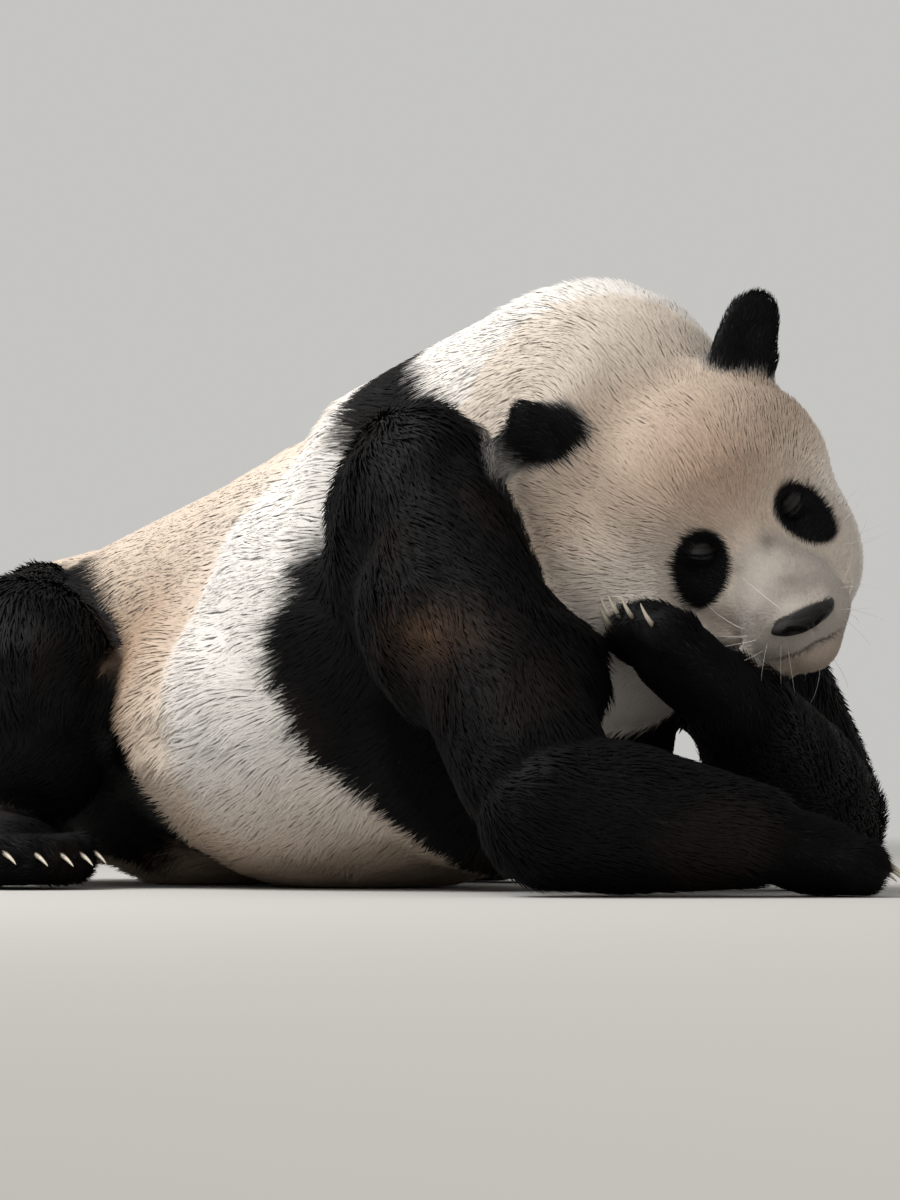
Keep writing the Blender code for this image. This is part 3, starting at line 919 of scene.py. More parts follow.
# %% Tints of the body, each laid over the one before
def body_tints(slow):
    x, _, z = skin_points.T
    behind_edge = np.interp(z, FLANK_EDGE_Z, FLANK_EDGE_X) - x
    hip_stain_and_shade = step_up(behind_edge + 0.012 * slow, -0.012, 0.030) * (1 - on("head", "jaw"))
    low = step_up(0.40 - z + 0.02 * slow, 0.0, 0.16)
    return [
        # the hip behind the ribs is painted cream and tan, darker towards the bottom: partly the coat's
        # stain, partly painted shade of the hip turned from the light
        (CREAM, hip_stain_and_shade * 0.85),
        (TAN, hip_stain_and_shade * step_up(behind_edge, 0.0, 0.16) * (0.30 + 0.70 * low)),
        # painted rust on the right haunch: partly stain, partly painted shade
        (RUST, spot(skin_points, HAUNCH, 0.075, stretch=(1.0, 2.0, 1.0)) * 0.55),
        # painted shade under the belly: cream, then tan, darker towards the floor
        (CREAM, step_up(0.16 - z + 0.02 * slow, 0.0, 0.12) * 0.8),
        (TAN, step_up(0.13 - z + 0.02 * slow, 0.0, 0.11) * 0.6),
        (WHITE, blur(on("tail"), 3) * 0.8),
        # the neck is painted creamier towards the bottom: partly its own colour, partly painted shade
        (CREAM, blur(on("neck"), 6) * (0.10 + 0.6 * step_up(0.54 - z, 0.0, 0.12))),
    ]


# %% Tints of the face
def face_tints(fine):
    x, _, z = head_points.T
    face = on("head", "jaw")
    cheek = step_up(0.03 - x, 0.0, 0.08) * step_up(0.04 - z, 0.0, 0.06)
    crown = step_up(z, 0.02, 0.08) * (1 - step_up(z, 0.16, 0.21)) * step_up(x, -0.15, -0.06)
    muzzle = step_up(x, 0.018, 0.045) * step_up(0.02 - z, 0.0, 0.03) * face
    chin = step_up(-0.100 - z, 0.0, 0.02) * face * step_up(x, 0.0, 0.03)
    return [
        # the face is painted cream, less on the rear of the cheeks: partly its own colour, partly painted
        # shade of the face turned from the light
        (CREAM, face * (0.80 - 0.50 * cheek)),
        # the crown is painted dark tan: partly stain, partly painted shade
        (CROWN_TAN_AND_SHADE, face * crown * 0.58),
        # a tan spot on the forehead: partly stain, partly painted shade
        (FOREHEAD_TAN_AND_SHADE, face * spot(head_points, BROW, 0.062) * (0.52 + 0.20 * fine)),
        # the muzzle is painted grey: partly its thin coat, partly painted shade
        (MUZZLE_GREY_AND_SHADE, muzzle * 0.75),
        (BLACK_BROWN, face * spot(head_points, NOSE_RIM, 0.024) * (0.16 + 0.30 * np.maximum(fine, 0))),
        (BLACK_BROWN, face * spot(head_points, EYE_CORNER, 0.009) * 0.5),
        (TAN, chin * 0.45),
        (MOUTH_SKIN, blur(mouth_share, 2) * 1.3 * face),
    ]


# %% The whole pattern
def coat_pattern():
    slow = speckle(skin_points, 0.09, 3.0)
    fine = speckle(skin_points, 0.012, 5.0)
    light = np.tile(WHITE, (len(skin_points), 1))
    for tint, share in body_tints(slow) + face_tints(fine):
        light = mix(light, tint, share)
    light = light * (1 + 0.05 * slow + 0.05 * fine)[:, None]
    brown = spot(skin_points, FORELEG_BROWN, 0.055, stretch=(1.0, 1.0, 0.5))
    dark = mix(np.tile(BLACK, (len(skin_points), 1)), RUST * 0.35, brown * (0.5 + 0.4 * fine))
    dark = mix(dark, BLACK_BROWN, step_up(slow, 0.1, 0.6) * 0.35)
    return light * (1 - black)[:, None] + dark * black[:, None]


pattern = np.clip(coat_pattern(), 0, 1)
print("mean colour of the coat:", pattern.mean(axis=0).round(2))


# %% [markdown]
# ## Hair lengths and bare places
# No tufts grow on the lids' rims, in the slit or the mouth, or on the pad of the nose.

# %% Where hair grows
BARE_LID_HALF = (0.0140, 0.0080)
BARE_LID_UP = 0.0025
BARE_PAD = (NOSE_FORWARD, -0.0035, NOSE_UP - NOSE_DROP)
BARE_PAD_HALF = (0.022, 0.0360, 0.0130)


def bare_share():
    lids = np.zeros(len(head_points))
    for side in (1, -1):
        along, up = eye_plane(head_points, side)
        reach = np.hypot(along / BARE_LID_HALF[0], (up - BARE_LID_UP) / BARE_LID_HALF[1])
        lids = np.maximum(lids, (1 - step_up(reach, 0.75, 1.05)) * (head_points[:, 0] > -0.005))
    pad_reach = np.linalg.norm((head_points - BARE_PAD) / BARE_PAD_HALF, axis=1)
    nose = 1 - step_up(pad_reach, 0.9, 1.1)
    mouth = step_up(mouth_share, 0.35, 0.8)
    return np.clip(np.max([lids, nose, mouth], axis=0), 0, 1)


SKIN_PAINTED_SHADE = 0.95        # the skin is painted with this much of the coat's brightness: painted shade beneath the hair
SLIT_PAINTED_SHADE = 0.8

bare = bare_share()
skin_colour = mix(pattern * SKIN_PAINTED_SHADE, LID_SKIN, np.clip(bare - mouth_share, 0, 1))
# the slit between the lids is painted most of the way to black: painted shade in the groove
skin_colour = mix(skin_colour, BLACK, slit_share * SLIT_PAINTED_SHADE)
print("bare points:", int((bare > 0.5).sum()))

# %% [markdown]
# ## Materials
# Hair takes its colour from an attribute worked out at its root, so skin and coat carry
# one pattern. Noise at the scale of a few hairs keeps it from looking painted. The coat is
# dull, with hardly any sheen, because light is scattered between so many hairs. The skin
# below has the same colours, a little darker as painted shade under the hair, with a bump
# of fine down.


# %% Helpers for materials, and those of coat and skin
def principled(name, roughness, **settings):
    material = bpy.data.materials.new(name)
    material.use_nodes = True
    shader = material.node_tree.nodes["Principled BSDF"]
    shader.inputs["Roughness"].default_value = roughness
    set_inputs(shader, **settings)
    return material, material.node_tree, shader


def texture(tree, kind, **settings):
    """A texture laid out in the piece's own space, so that its grain has a true size."""
    place = add_node(tree, "ShaderNodeTexCoord")
    made = add_node(tree, kind)
    set_inputs(made, **settings)
    connect(tree, (place, "Object"), (made, "Vector"))
    return made


def grained_colour(tree, shader, source, grain, low, high, contrast=(0.3, 0.7)):
    """The source's colour, made darker and lighter between low and high by fine noise."""
    fine = texture(tree, "ShaderNodeTexNoise", Scale=grain, Detail=3.0)
    spread = add_node(tree, "ShaderNodeMapRange")
    set_inputs(spread, From_Min=contrast[0], From_Max=contrast[1], To_Min=low, To_Max=high)
    scaled = add_node(tree, "ShaderNodeVectorMath", operation="SCALE")
    connect(tree, (fine, 0), (spread, "Value"))
    connect(tree, source, (scaled, 0))
    connect(tree, (spread, "Result"), (scaled, "Scale"))
    connect(tree, (scaled, "Vector"), (shader, "Base Color"))


def relief(tree, shader, height, strength, distance):
    """Raises and lowers the surface by what a texture gives out."""
    raised = add_node(tree, "ShaderNodeBump")
    set_inputs(raised, Strength=strength, Distance=distance)
    connect(tree, height, (raised, "Height"))
    connect(tree, (raised, "Normal"), (shader, "Normal"))


def hair_material():
    material, tree, shader = principled("panda_hair", 0.60, Specular_IOR_Level=0.08)
    source = add_node(tree, "ShaderNodeAttribute", attribute_name="hair_colour")
    grained_colour(tree, shader, (source, "Color"), 320.0, 0.92, 1.05)
    return material


def skin_material():
    material, tree, shader = principled("panda_skin", 0.62, Specular_IOR_Level=0.3)
    source = add_node(tree, "ShaderNodeAttribute", attribute_name="skin_colour")
    grained_colour(tree, shader, (source, "Color"), 420.0, 0.82, 1.10)
    down = texture(tree, "ShaderNodeTexNoise", Scale=900.0, Detail=4.0)
    relief(tree, shader, (down, 0), 0.6, 0.0015)
    return material


hair = hair_material()
skin_finish = skin_material()


# %% Put the fields on the skin
def give(mesh, name, kind, values):
    attribute = mesh.attributes.new(name, kind, "POINT")
    field = {"FLOAT": "value", "FLOAT_VECTOR": "vector", "FLOAT_COLOR": "color"}[kind]
    if kind == "FLOAT_COLOR":
        values = np.column_stack([values, np.ones(len(values))])
    attribute.data.foreach_set(field, np.asarray(values, dtype=np.float32).ravel())


def read(mesh, name, width):
    attribute = mesh.attributes[name]
    field = {1: "value", 3: "vector", 4: "color"}[width]
    flat = np.empty(len(attribute.data) * width, dtype=np.float32)
    attribute.data.foreach_get(field, flat)
    return flat.reshape(-1, width) if width > 1 else flat


skin.data.shade_smooth()
skin.data.materials.append(skin_finish)
give(skin.data, "skin_colour", "FLOAT_COLOR", skin_colour)
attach(skin, BODY)
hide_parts(*FLESH)
print("skin:", len(skin.data.polygons), "faces")

# %% [markdown]
# ## A tuft
# One tuft is a closed pointed blade with a ridge on its back, widest a third of the way
# along, like a lock of hair. It leaves the skin at a slope and bends over to lie along
# it. Its length, width and rise are each 1, and the place where it grows scales them. A
# short tuft is a plain thorn with four faces. The root is darker than the tip, because
# little light gets down between the hairs.

# %% Models of a tuft
LONG_TUFT = {
    "places": [(0, -0.26, -0.16), (0, 0.26, -0.16), (0.36, -0.50, 0.48), (0.36, 0.50, 0.48),
               (0.34, 0.0, 0.68), (1.0, 0.0, 1.0)],
    "faces": [(0, 1, 3, 2), (2, 3, 5), (0, 4, 1), (0, 2, 4), (1, 4, 3), (2, 5, 4), (4, 5, 3)],
    "shades": (0.90, 0.90, 0.98, 0.98, 0.99, 1.02),
}
SHORT_TUFT = {
    "places": [(0, -0.50, -0.10), (0, 0.50, -0.10), (0.05, 0.0, 0.42), (1.0, 0.0, 1.0)],
    "faces": [(0, 2, 1), (0, 1, 3), (1, 2, 3), (2, 0, 3)],
    "shades": (0.86, 0.86, 0.92, 1.03),
}


def tuft_object(name, model):
    bm = bmesh.new()
    corners = [bm.verts.new(place) for place in model["places"]]
    for face in model["faces"]:
        bm.faces.new([corners[k] for k in face])
    bmesh.ops.triangulate(bm, faces=bm.faces)
    bmesh.ops.recalc_face_normals(bm, faces=bm.faces)
    mesh = bpy.data.meshes.new(name)
    bm.to_mesh(mesh)
    bm.free()
    give(mesh, "patch", "FLOAT_VECTOR", [(x - 0.5, y, 0) for x, y, _ in model["places"]])
    give(mesh, "shade", "FLOAT", model["shades"])
    return bpy.data.objects.new(name, mesh)


long_tuft = tuft_object("long_tuft", LONG_TUFT)
short_tuft = tuft_object("short_tuft", SHORT_TUFT)
print("a long tuft has", len(long_tuft.data.polygons), "faces and a short one", len(short_tuft.data.polygons))

# %% [markdown]
# ## Planting the tufts
# Hair grows at an even spacing all over, so points are spread on the skin with a least
# distance between them. Geometry Nodes do this well: they spread the points, turn a tuft
# at each so that it leans along the coat's lie, scale it by the lengths kept on the skin,
# and join the copies into one mesh. Each tuft also gets its own small patch on the
# unwrapped skin, at the place of its root, in a UV map named OFBake.

# %% Helpers for the tree that plants tufts
PATCH_SIZE = 0.003       # of a tuft on the bake map, whose width is 1
TURN_SEED = 11
SIZE_SEED = 21
SIZE_SPREADS = {"tuft_length": (0.72, 1.15), "tuft_width": (0.75, 1.25), "tuft_rise": (0.76, 1.04)}


def named(tree, attribute, kind="FLOAT"):
    made = add_node(tree, "GeometryNodeInputNamedAttribute", data_type=kind)
    made.inputs["Name"].default_value = attribute
    return (made, "Attribute")


def random_between(tree, low, high, seed):
    made = add_node(tree, "FunctionNodeRandomValue", data_type="FLOAT")
    made.inputs[2].default_value = low
    made.inputs[3].default_value = high
    made.inputs["Seed"].default_value = seed
    return (made, 1)


def times(tree, first, second):
    made = add_node(tree, "ShaderNodeMath", operation="MULTIPLY")
    connect(tree, first, (made, 0))
    connect(tree, second, (made, 1))
    return (made, 0)


# %% Steps of the tree
def spread_points(tree, given):
    """Points on the skin, at least the spacing apart, where growth lets them be."""
    spread = add_node(tree, "GeometryNodeDistributePointsOnFaces", distribute_method="POISSON")
    connect(tree, (given, "Skin"), (spread, "Mesh"))
    connect(tree, (given, "Spacing"), (spread, "Distance Min"))
    connect(tree, (given, "Points per Square Metre"), (spread, "Density Max"))
    connect(tree, named(tree, "growth"), (spread, "Density Factor"))
    connect(tree, (given, "Seed"), (spread, "Seed"))
    return (spread, "Points")


def turn_of_tufts(tree, given):
    """Up is outward from the skin and forward is the coat's lie, give or take a little."""
    lean = add_node(tree, "FunctionNodeAxesToRotation", primary_axis="Z", secondary_axis="X")
    connect(tree, named(tree, "outward", "FLOAT_VECTOR"), (lean, 0))
    connect(tree, named(tree, "lie", "FLOAT_VECTOR"), (lean, 1))
    swing = add_node(tree, "FunctionNodeAxisAngleToRotation")
    swing.inputs["Axis"].default_value = (0, 0, 1)
    angle = times(tree, random_between(tree, -1.0, 1.0, TURN_SEED), (given, "Spread of Turn"))
    connect(tree, angle, (swing, "Angle"))
    turned = add_node(tree, "FunctionNodeRotateRotation", rotation_space="LOCAL")
    connect(tree, (lean, 0), (turned, 0))
    connect(tree, (swing, 0), (turned, 1))
    return (turned, 0)


def size_of_tufts(tree):
    size = add_node(tree, "ShaderNodeCombineXYZ")
    for axis, (attribute, (low, high)) in enumerate(SIZE_SPREADS.items()):
        varied = times(tree, named(tree, attribute), random_between(tree, low, high, SIZE_SEED + axis))
        connect(tree, varied, (size, axis))
    return (size, 0)


def lay_patches(tree, coat):
    """Gives each tuft a small patch of the bake map, at its root's place on the unwrapped skin."""
    small = add_node(tree, "ShaderNodeVectorMath", operation="SCALE")
    small.inputs["Scale"].default_value = PATCH_SIZE
    connect(tree, named(tree, "patch", "FLOAT_VECTOR"), (small, 0))
    place = add_node(tree, "ShaderNodeVectorMath", operation="ADD")
    connect(tree, named(tree, "unwrap", "FLOAT_VECTOR"), (place, 0))
    connect(tree, (small, 0), (place, 1))
    store = add_node(tree, "GeometryNodeStoreNamedAttribute", data_type="FLOAT2", domain="CORNER")
    store.inputs["Name"].default_value = "OFBake"
    connect(tree, coat, (store, "Geometry"))
    connect(tree, (place, 0), (store, "Value"))
    return (store, 0)


# %% The tree that plants tufts
def planting_tree():
    tree = bpy.data.node_groups.new("plant_tufts", "GeometryNodeTree")
    kinds = {"Skin": "Geometry", "Tuft": "Object", "Spacing": "Float", "Points per Square Metre": "Float",
             "Spread of Turn": "Float", "Seed": "Int", "Material": "Material"}
    sockets = {}
    for name, kind in kinds.items():
        socket = tree.interface.new_socket(name, in_out="INPUT", socket_type="NodeSocket" + kind)
        sockets[name] = socket.identifier
    tree.interface.new_socket("Coat", in_out="OUTPUT", socket_type="NodeSocketGeometry")
    given = add_node(tree, "NodeGroupInput")
    result = add_node(tree, "NodeGroupOutput")

    model = add_node(tree, "GeometryNodeObjectInfo")
    connect(tree, (given, "Tuft"), (model, "Object"))
    copies = add_node(tree, "GeometryNodeInstanceOnPoints")
    connect(tree, spread_points(tree, given), (copies, "Points"))
    connect(tree, (model, "Geometry"), (copies, "Instance"))
    connect(tree, turn_of_tufts(tree, given), (copies, "Rotation"))
    connect(tree, size_of_tufts(tree), (copies, "Scale"))
    joined = add_node(tree, "GeometryNodeRealizeInstances")
    connect(tree, (copies, 0), (joined, 0))
    finish = add_node(tree, "GeometryNodeSetMaterial")
    connect(tree, lay_patches(tree, (joined, 0)), (finish, "Geometry"))
    connect(tree, (given, "Material"), (finish, "Material"))
    connect(tree, (finish, 0), (result, 0))
    return tree, sockets


plant_tree, plant_sockets = planting_tree()
print("inputs of the tree:", ", ".join(plant_sockets))


# %% [markdown]
# ## What each tuft reads
# The tree finds the size of each tuft in attributes of the skin at its root. In a crease
# hair is pressed down, so it is shorter and flatter there: tufts that stood up out of a
# fold would show as a row of spikes. Each tuft is shaded mostly like the body under it,
# or its many small sides would glitter and hide the round form of the animal.

# %% Fields for planting
CREASE = (0.0006, 0.0026)      # sunk this far below the skin around: a crease starts, and is full
CREASE_SHORTER = 0.35          # in a crease, hair is this much shorter and lies this much flatter
CREASE_FLATTER = 0.75
PATCH_SHORTER = 0.40           # hair round the eyes is this much shorter
TUFT_SLENDERNESS = 0.075
TUFT_WIDTHS = (0.0011, 0.0027)


def hollow_share():
    """1 in the creases of the skin, 0 where it is flat or round."""
    places = points_of(skin)
    around = blur(places, 8)
    sunk = np.einsum("ij,ij->i", around - places, normals_of(skin))
    return blur(step_up(sunk, *CREASE), 2)


def fields_for_planting():
    mesh = skin.data
    crease = hollow_share()
    length = coat_length * (1 - PATCH_SHORTER * blur(eye_patches(head_points), 6))
    give(mesh, "lie", "FLOAT_VECTOR", coat_lie)
    give(mesh, "outward", "FLOAT_VECTOR", normals_of(skin))
    give(mesh, "root_colour", "FLOAT_COLOR", pattern)
    give(mesh, "growth", "FLOAT", 1 - bare)
    give(mesh, "tuft_length", "FLOAT", length * (1 - CREASE_SHORTER * crease))
    give(mesh, "tuft_width", "FLOAT", np.clip(coat_length * TUFT_SLENDERNESS, *TUFT_WIDTHS))
    give(mesh, "tuft_rise", "FLOAT", coat_depth * (1 - CREASE_FLATTER * crease))


fields_for_planting()

# %% Growing a coat on part of the skin
SOFTNESS = 0.84          # how far a tuft is shaded like the body under it, and not by its own sides
CROWDING = 2.6           # points tried on each square as wide as the spacing
TURN_SPREAD = 0.21       # in radians, to either side of the coat's lie
FLOOR_GAP = 0.0004
TINT_SPREAD = 0.05       # how much lighter or darker one tuft is than the next
USED_UP = ("root_colour", "shade", "patch", "unwrap", "outward", "lie", "growth",
           "tuft_length", "tuft_width", "tuft_rise", "skin_colour")


def ground_of(name, chosen):
    """A copy of the skin's faces that start at a chosen point, unwrapped."""
    bm = bmesh.new()
    bm.from_mesh(skin.data)
    bm.verts.ensure_lookup_table()
    spare = [face for face in bm.faces if not chosen[face.verts[0].index]]
    bmesh.ops.delete(bm, geom=spare, context="FACES")
    ground = link_mesh(name, bm)
    bpy.ops.object.select_all(action="DESELECT")
    ground.select_set(True)
    bpy.context.view_layer.objects.active = ground
    bpy.ops.object.mode_set(mode="EDIT")
    bpy.ops.mesh.select_all(action="SELECT")
    bpy.ops.uv.smart_project(angle_limit=radians(66), island_margin=0.004)
    bpy.ops.object.mode_set(mode="OBJECT")
    ground.data.uv_layers.active.name = "unwrap"
    return ground


def plant(name, ground, tuft, spacing, seed, turn=TURN_SPREAD, soft=SOFTNESS):
    maker = bpy.data.objects.new(name, ground.data)
    bpy.context.scene.collection.objects.link(maker)
    modifier = maker.modifiers.new("plant", "NODES")
    modifier.node_group = plant_tree
    values = {"Tuft": tuft, "Spacing": spacing, "Points per Square Metre": CROWDING / spacing**2,
              "Spread of Turn": turn, "Seed": seed, "Material": hair}
    for key, value in values.items():
        modifier[plant_sockets[key]] = value
    graph = bpy.context.evaluated_depsgraph_get()
    graph.update()
    mesh = bpy.data.meshes.new_from_object(maker.evaluated_get(graph))
    maker.modifiers.clear()
    maker.data = mesh
    mesh.name = name
    dress(mesh, len(tuft.data.vertices), seed, soft)
    return maker


def dress(mesh, tuft_points, seed, soft):
    """Colours the tufts, keeps them above the floor and softens their shading."""
    rng = np.random.default_rng(seed)
    tufts = len(mesh.vertices) // tuft_points
    tint = np.repeat(1 + TINT_SPREAD * rng.uniform(-1, 1, tufts), tuft_points)
    colour = read(mesh, "root_colour", 4)[:, :3] * (read(mesh, "shade", 1) * tint)[:, None]
    give(mesh, "hair_colour", "FLOAT_COLOR", np.clip(colour, 0, 1))
    places = np.empty(len(mesh.vertices) * 3, dtype=np.float32)
    mesh.vertices.foreach_get("co", places)
    places[2::3] = np.maximum(places[2::3], FLOOR_GAP)
    mesh.vertices.foreach_set("co", places)
    mesh.shade_smooth()
    own = np.empty(len(mesh.vertices) * 3, dtype=np.float32)
    mesh.vertex_normals.foreach_get("vector", own)
    shaded = unit(read(mesh, "outward", 3) * soft + own.reshape(-1, 3) * (1 - soft))
    for extra in USED_UP:
        if extra in mesh.attributes:
            mesh.attributes.remove(mesh.attributes[extra])
    mesh.normals_split_custom_set_from_vertices(shaded.tolist())


print("a tuft is shaded", round(SOFTNESS * 100), "% like the body under it")

# %% [markdown]
# ## The coat, part by part
# Each part of the body gets a coat piece of its own, small enough to keep every tuft. The
# spacing is finest on the face and widest on the hind legs. Tufts of neighbouring parts
# lie over each other, so no line shows between the pieces.

# %% Spacing of the tufts on each part, in metres
SPACING = {
    "face": 0.0013, "head": 0.0021, "neck": 0.0026, "chest": 0.0029, "belly": 0.0029, "rump": 0.0030,
    "tail": 0.0032, "ear": 0.0018, "upper_arm": 0.0030, "forearm": 0.0031, "forepaw": 0.0020,
    "thigh": 0.0034, "shank": 0.0033, "hind_foot": 0.0022,
}
SHORT_HAIRED = ("face", "forepaw", "hind_foot")
FACE_PIECE_MIDDLE = (0.055, 0, -0.045)
FACE_PIECE_REACH = 0.125


def coat_regions():
    """Name of each coat piece and the points of the skin that it grows on."""
    head = on("head", "jaw") > 0
    face = head & (np.linalg.norm(head_points - FACE_PIECE_MIDDLE, axis=1) < FACE_PIECE_REACH)
    left = skin_points[:, 1] > 0
    regions = {"face": face, "head_left": head & ~face & (head_points[:, 1] > 0),
               "head_right": head & ~face & (head_points[:, 1] <= 0)}
    for part in ("neck", "chest", "belly", "rump"):
        regions[part + "_left"] = (on(part) > 0) & left
        regions[part + "_right"] = (on(part) > 0) & ~left
    regions["tail"] = on("tail") > 0
    for part in PAIRED:
        for side in SIDES:
            regions[f"{part}_{side}"] = part_number == FLESH.index(f"{part}_{side}")
    return regions


total = 0
for seed, (region, chosen) in enumerate(coat_regions().items(), start=1):
    kind = region if region in SPACING else region.rsplit("_", 1)[0]
    tuft = short_tuft if kind in SHORT_HAIRED else long_tuft
    ground = ground_of("ground_" + region, chosen)
    coat = plant("coat_" + region, ground, tuft, SPACING[kind], seed)
    bpy.data.objects.remove(ground)
    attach(coat, BODY)
    total += len(coat.data.polygons)
    print(f"{coat.name}: {len(coat.data.polygons)} triangles")
print("coat in all:", total, "triangles")

# %% [markdown]
# ## Whiskers
# Some thirty long white hairs stand out round the muzzle, on the cheeks and under the
# chin. They are planted by the same tree, with a longer, thinner model that bends like a
# bow, on a copy of the face with its own lengths.

# %% Whiskers
WHISKER_LENGTH = 0.046
WHISKER_WIDTH = 0.00038
WHISKER_RISE = 0.026
WHISKER_SPACING = 0.0090
WHISKER_TURN = 0.7
WHISKER_SOFTNESS = 0.5
WHISKER_SEED = 61
WHISKER_COLOUR = (0.80, 0.78, 0.75, 1.0)
WHISKER_RIDGE = 0.020
# of each ring: how far along it is, how high, and how wide, as shares of the whole
WHISKER_RINGS = ((0.0, -0.05, 1.0), (0.2, 0.30, 0.95), (0.42, 0.58, 0.8), (0.64, 0.80, 0.6),
                 (0.84, 0.93, 0.4))


def whisker_object():
    places = []
    for along, rise, width in WHISKER_RINGS:
        places += [(along, -0.5 * width, rise), (along, 0.5 * width, rise),
                   (along, 0, rise + WHISKER_RIDGE * width)]
    places.append((1.0, 0.0, 1.0))
    last = len(places) - 1
    faces = [(0, 1, 2), (last - 3, last - 2, last), (last - 2, last - 1, last), (last - 1, last - 3, last)]
    for ring in range(0, last - 3, 3):
        for k in range(3):
            after = (k + 1) % 3
            faces.append((ring + k, ring + after, ring + 3 + after, ring + 3 + k))
    return tuft_object("whisker", {"places": places, "faces": faces, "shades": [1.0] * len(places)})


def whisker_places():
    """Share of the greatest crowding: most on the sides of the muzzle, fewer on cheeks and chin."""
    one_side = mirrored(head_points)
    x, y, z = one_side.T
    muzzle = bump(np.hypot(y - 0.036, z + 0.082), 0.018) * step_up(x, 0.02, 0.04)
    cheek = spot(one_side, (-0.02, 0.105, -0.05), 0.03) * 0.30
    chin = bump(np.hypot(y, z + 0.125), 0.020) * step_up(x, 0.0, 0.03) * 0.25
    return (muzzle + cheek + chin) * on("head", "jaw") * (1 - bare)


def refill(mesh, name, value):
    """Puts one value, or one colour, on every point."""
    field = "color" if isinstance(value, tuple) else "value"
    values = np.tile(np.array(value, dtype=np.float32), len(mesh.vertices))
    mesh.attributes[name].data.foreach_set(field, values)


give(skin.data, "whiskers", "FLOAT", np.clip(whisker_places(), 0, 1))
ground = ground_of("ground_whiskers", (on("head", "jaw") > 0) & (whisker_places() > 0.01))
ground.data.attributes.remove(ground.data.attributes["growth"])
ground.data.attributes["whiskers"].name = "growth"
refill(ground.data, "tuft_length", WHISKER_LENGTH)
refill(ground.data, "tuft_width", WHISKER_WIDTH)
refill(ground.data, "tuft_rise", WHISKER_RISE)
refill(ground.data, "root_colour", WHISKER_COLOUR)
whisker = whisker_object()
whiskers = plant("whiskers", ground, whisker, WHISKER_SPACING, WHISKER_SEED, WHISKER_TURN, WHISKER_SOFTNESS)
bpy.data.objects.remove(ground)
skin.data.attributes.remove(skin.data.attributes["whiskers"])
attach(whiskers, BODY)
print("whiskers:", len(whiskers.data.polygons) // len(whisker.data.polygons))

# %% [markdown]
# ## The nose
# The bare pad of the nose is a wide rounded wedge: a flat upper edge that dips in the
# middle, a narrower underside, a comma-shaped nostril either side and a groove down the
# middle. It starts as a ball and is pushed into shape. Its skin is pebbled, so the
# material has small cells in its bump, and only a faint gloss, because it is nearly dry.

# %% Nose pad
NOSE_HALF = (0.0185, 0.0345, 0.0125)
NOSE_NOD = radians(12)
NOSE_SHIFT = -0.0055
UNDERSIDE_NARROWER = 0.26
TOP_FLATTER = 0.86
TOP_DIP = 0.16
BACK_FLATTER = 0.55
WINGS_BACK = 0.10
NOSTRIL = [(0.0, 0.0075, -0.0045), (0.0, 0.0120, -0.0012), (0.0, 0.0185, 0.0010), (0.0, 0.0245, -0.0010)]
NOSTRIL_WIDTH = 0.0021
NOSTRIL_DEPTH = 0.0065
NOSTRIL_RIM = 0.0042     # from the nostril's line to the top of its rim
PAD_CLEFT_WIDTH = 0.0008
PAD_CLEFT_DEPTH = 0.0016


def nose_places(ball):
    """The points of a ball with radius 1, pushed into the shape of the pad, in metres."""
    x, y, z = ball.T
    y = y * (1 - UNDERSIDE_NARROWER * np.clip(-z, 0, 1))
    dip = TOP_DIP * bump(y, 0.30) * np.clip(z, 0, 1)
    z = np.where(z > 0, z * TOP_FLATTER, z) - dip
    x = np.where(x < 0, x * BACK_FLATTER, x * (1 - WINGS_BACK * np.abs(y)))
    places = np.column_stack([x, y, z]) * NOSE_HALF
    seen_from_front = mirrored(places) * [0, 1, 1]
    from_nostril, _ = distance_to_line(seen_from_front, NOSTRIL)
    hole = bump(from_nostril, NOSTRIL_WIDTH) * NOSTRIL_DEPTH
    rim = bump(from_nostril - NOSTRIL_RIM, 0.0014) * 0.0006
    lower_part = 1 - step_up(places[:, 2], -0.002, 0.003)
    pad_cleft = bump(places[:, 1], PAD_CLEFT_WIDTH) * lower_part * PAD_CLEFT_DEPTH
    places[:, 0] += (rim - hole - pad_cleft) * (places[:, 0] > 0)
    return places


def nose_pad():
    bm = bmesh.new()
    bmesh.ops.create_uvsphere(bm, u_segments=128, v_segments=80, radius=1)
    pad = link_mesh("nose_pad", bm)
    places = nose_places(points_of(pad))
    nod = np.array(Matrix.Rotation(NOSE_NOD, 3, "Y"))
    places = places @ nod.T + [NOSE_FORWARD, NOSE_SHIFT, NOSE_UP - NOSE_DROP]
    move_points(pad, from_head(places))
    pad.data.shade_smooth()
    return pad


def colour_ramp(tree, stops):
    """A ramp through (position, colour) stops."""
    ramp = add_node(tree, "ShaderNodeValToRGB")
    elements = ramp.color_ramp.elements
    while len(elements) < len(stops):
        elements.new(1.0)
    for element, (position, colour) in zip(elements, stops):
        element.position = position
        element.color = (*colour, 1)
    return ramp


def nose_material():
    material, tree, shader = principled("nose_leather", 0.48, Specular_IOR_Level=0.12)
    tone = texture(tree, "ShaderNodeTexNoise", Scale=160.0, Detail=4.0)
    ramp = colour_ramp(tree, ((0.0, (0.002, 0.002, 0.002)), (1.0, (0.012, 0.010, 0.009))))
    connect(tree, (tone, 0), (ramp, "Fac"))
    connect(tree, (ramp, "Color"), (shader, "Base Color"))
    cells = texture(tree, "ShaderNodeTexVoronoi", Scale=850.0)
    relief(tree, shader, (cells, "Distance"), 0.55, 0.0006)
    return material


pad = nose_pad()
pad.data.materials.append(nose_material())
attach(pad, BODY)
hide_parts("nose")
print("nose pad:", len(pad.data.polygons), "faces")

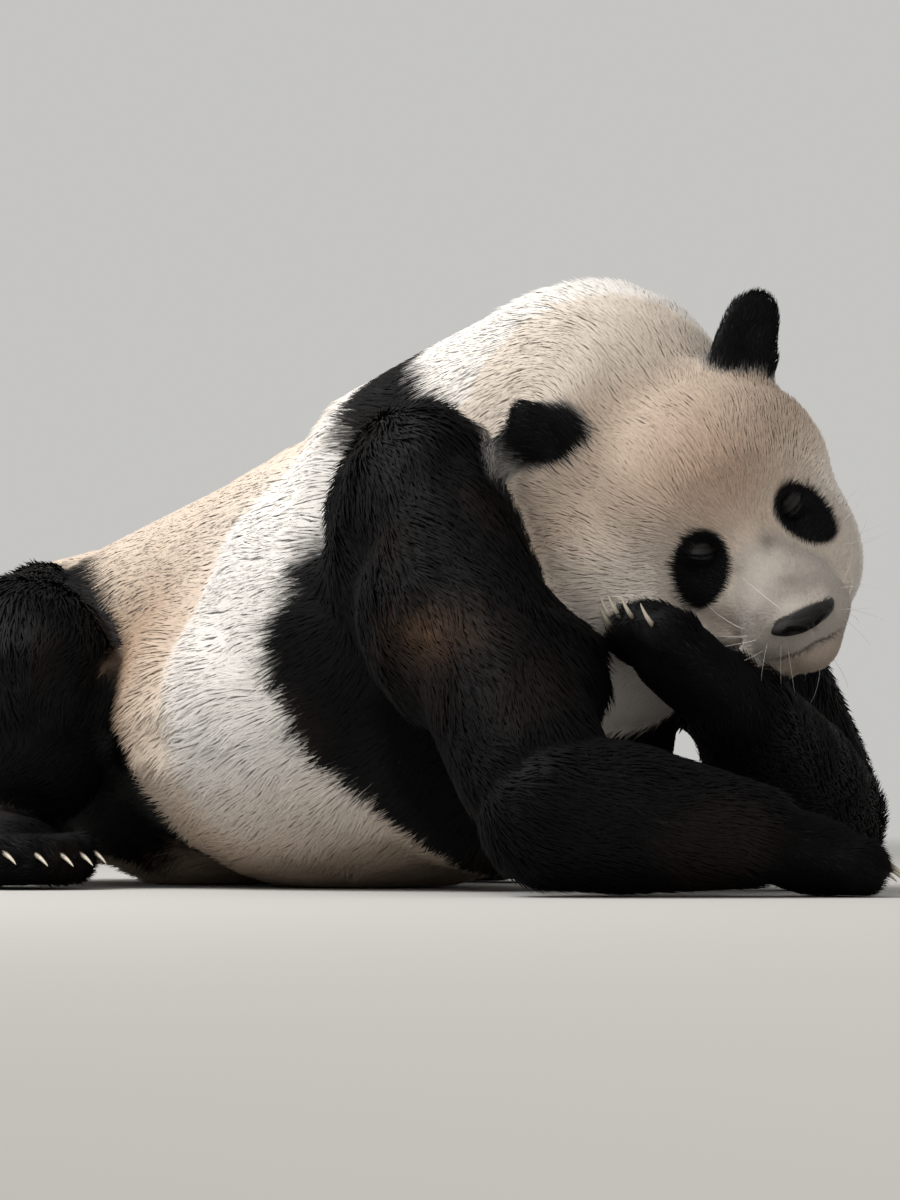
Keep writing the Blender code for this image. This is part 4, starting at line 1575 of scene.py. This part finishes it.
# %% [markdown]
# ## Eyeballs
# The lids are shut over them, so they are plain: a ball with a raised cornea, dark brown
# with a black pupil, as wet as glass. They give the lids something to lie on.

# %% Eyeballs
BALL_SHARE = 0.90        # of the eye's radius, so that the lid clears it
BALL_BACK = 0.0016
CORNEA_RISE = 0.06
CORNEA_WIDTH = 0.45
PUPIL = (0.002, 0.002, 0.002)
IRIS_INNER = (0.045, 0.020, 0.009)
IRIS_OUTER = (0.020, 0.010, 0.006)
EYE_WHITE = (0.16, 0.12, 0.10)


def eyeball(side):
    bm = bmesh.new()
    bmesh.ops.create_uvsphere(bm, u_segments=32, v_segments=24, radius=1)
    ball = link_mesh(f"eyeball_{side}", bm)
    places = points_of(ball)
    from_pupil = np.hypot(places[:, 1], places[:, 2]) + (places[:, 0] < 0) * 2
    places[:, 0] += CORNEA_RISE * bump(from_pupil, CORNEA_WIDTH)
    eye_place = in_head(np.array([middle(f"eye_{side}")]))
    places = places * EYE_RADIUS * BALL_SHARE + eye_place - [BALL_BACK, 0, 0]
    move_points(ball, from_head(places))
    give(ball.data, "from_pupil", "FLOAT", from_pupil)
    ball.data.shade_smooth()
    return ball


def eye_material():
    material, tree, shader = principled("eye_brown", 0.08, Specular_IOR_Level=0.6, Coat_Weight=1.0)
    source = add_node(tree, "ShaderNodeAttribute", attribute_name="from_pupil")
    ramp = colour_ramp(tree, ((0.0, PUPIL), (0.16, PUPIL), (0.20, IRIS_INNER), (0.48, IRIS_OUTER),
                              (0.60, EYE_WHITE)))
    connect(tree, (source, "Fac"), (ramp, "Fac"))
    connect(tree, (ramp, "Color"), (shader, "Base Color"))
    return material


eye_brown = eye_material()
for side in SIDES:
    ball = eyeball(side)
    ball.data.materials.append(eye_brown)
    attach(ball, BODY)
    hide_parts(f"eye_{side}")
print("two eyeballs")

# %% [markdown]
# ## Claws
# Twenty curved claws of horn: ivory, darker where they leave the toe, with a fine grain.
# The solids have the right length and curve but are faceted, so each gets a copy rounded
# by a subdivision surface. How far along the claw a point lies is kept for the colour.

# %% Claws
def horn_material():
    material, tree, shader = principled("claw_horn", 0.34, Specular_IOR_Level=0.5)
    source = add_node(tree, "ShaderNodeAttribute", attribute_name="along")
    ramp = colour_ramp(tree, ((0.12, (0.075, 0.055, 0.042)), (0.50, (0.56, 0.50, 0.40))))
    connect(tree, (source, "Fac"), (ramp, "Fac"))
    grained_colour(tree, shader, (ramp, "Color"), 700.0, 0.72, 1.12, contrast=(0.0, 1.0))
    streaks = texture(tree, "ShaderNodeTexNoise", Scale=1500.0, Detail=4.0)
    relief(tree, shader, (streaks, 0), 0.25, 0.0004)
    return material


def claw_piece(node, paw):
    claw = link_mesh("horn_" + node, merged_copy(node))
    claw.modifiers.new("round", "SUBSURF").levels = 2
    apply_modifiers(claw)
    places = points_of(claw)
    out = np.array((middle(node) - middle(paw)).normalized())
    along = places @ out
    give(claw.data, "along", "FLOAT", (along - along.min()) / np.ptp(along))
    claw.data.shade_smooth()
    return claw


horn = horn_material()
for paw in PAWS:
    for number in CLAW_NUMBERS:
        node = f"{paw}_claw_{number}"
        claw = claw_piece(node, paw)
        claw.data.materials.append(horn)
        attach(claw, BODY)
        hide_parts(node)
print("twenty claws")
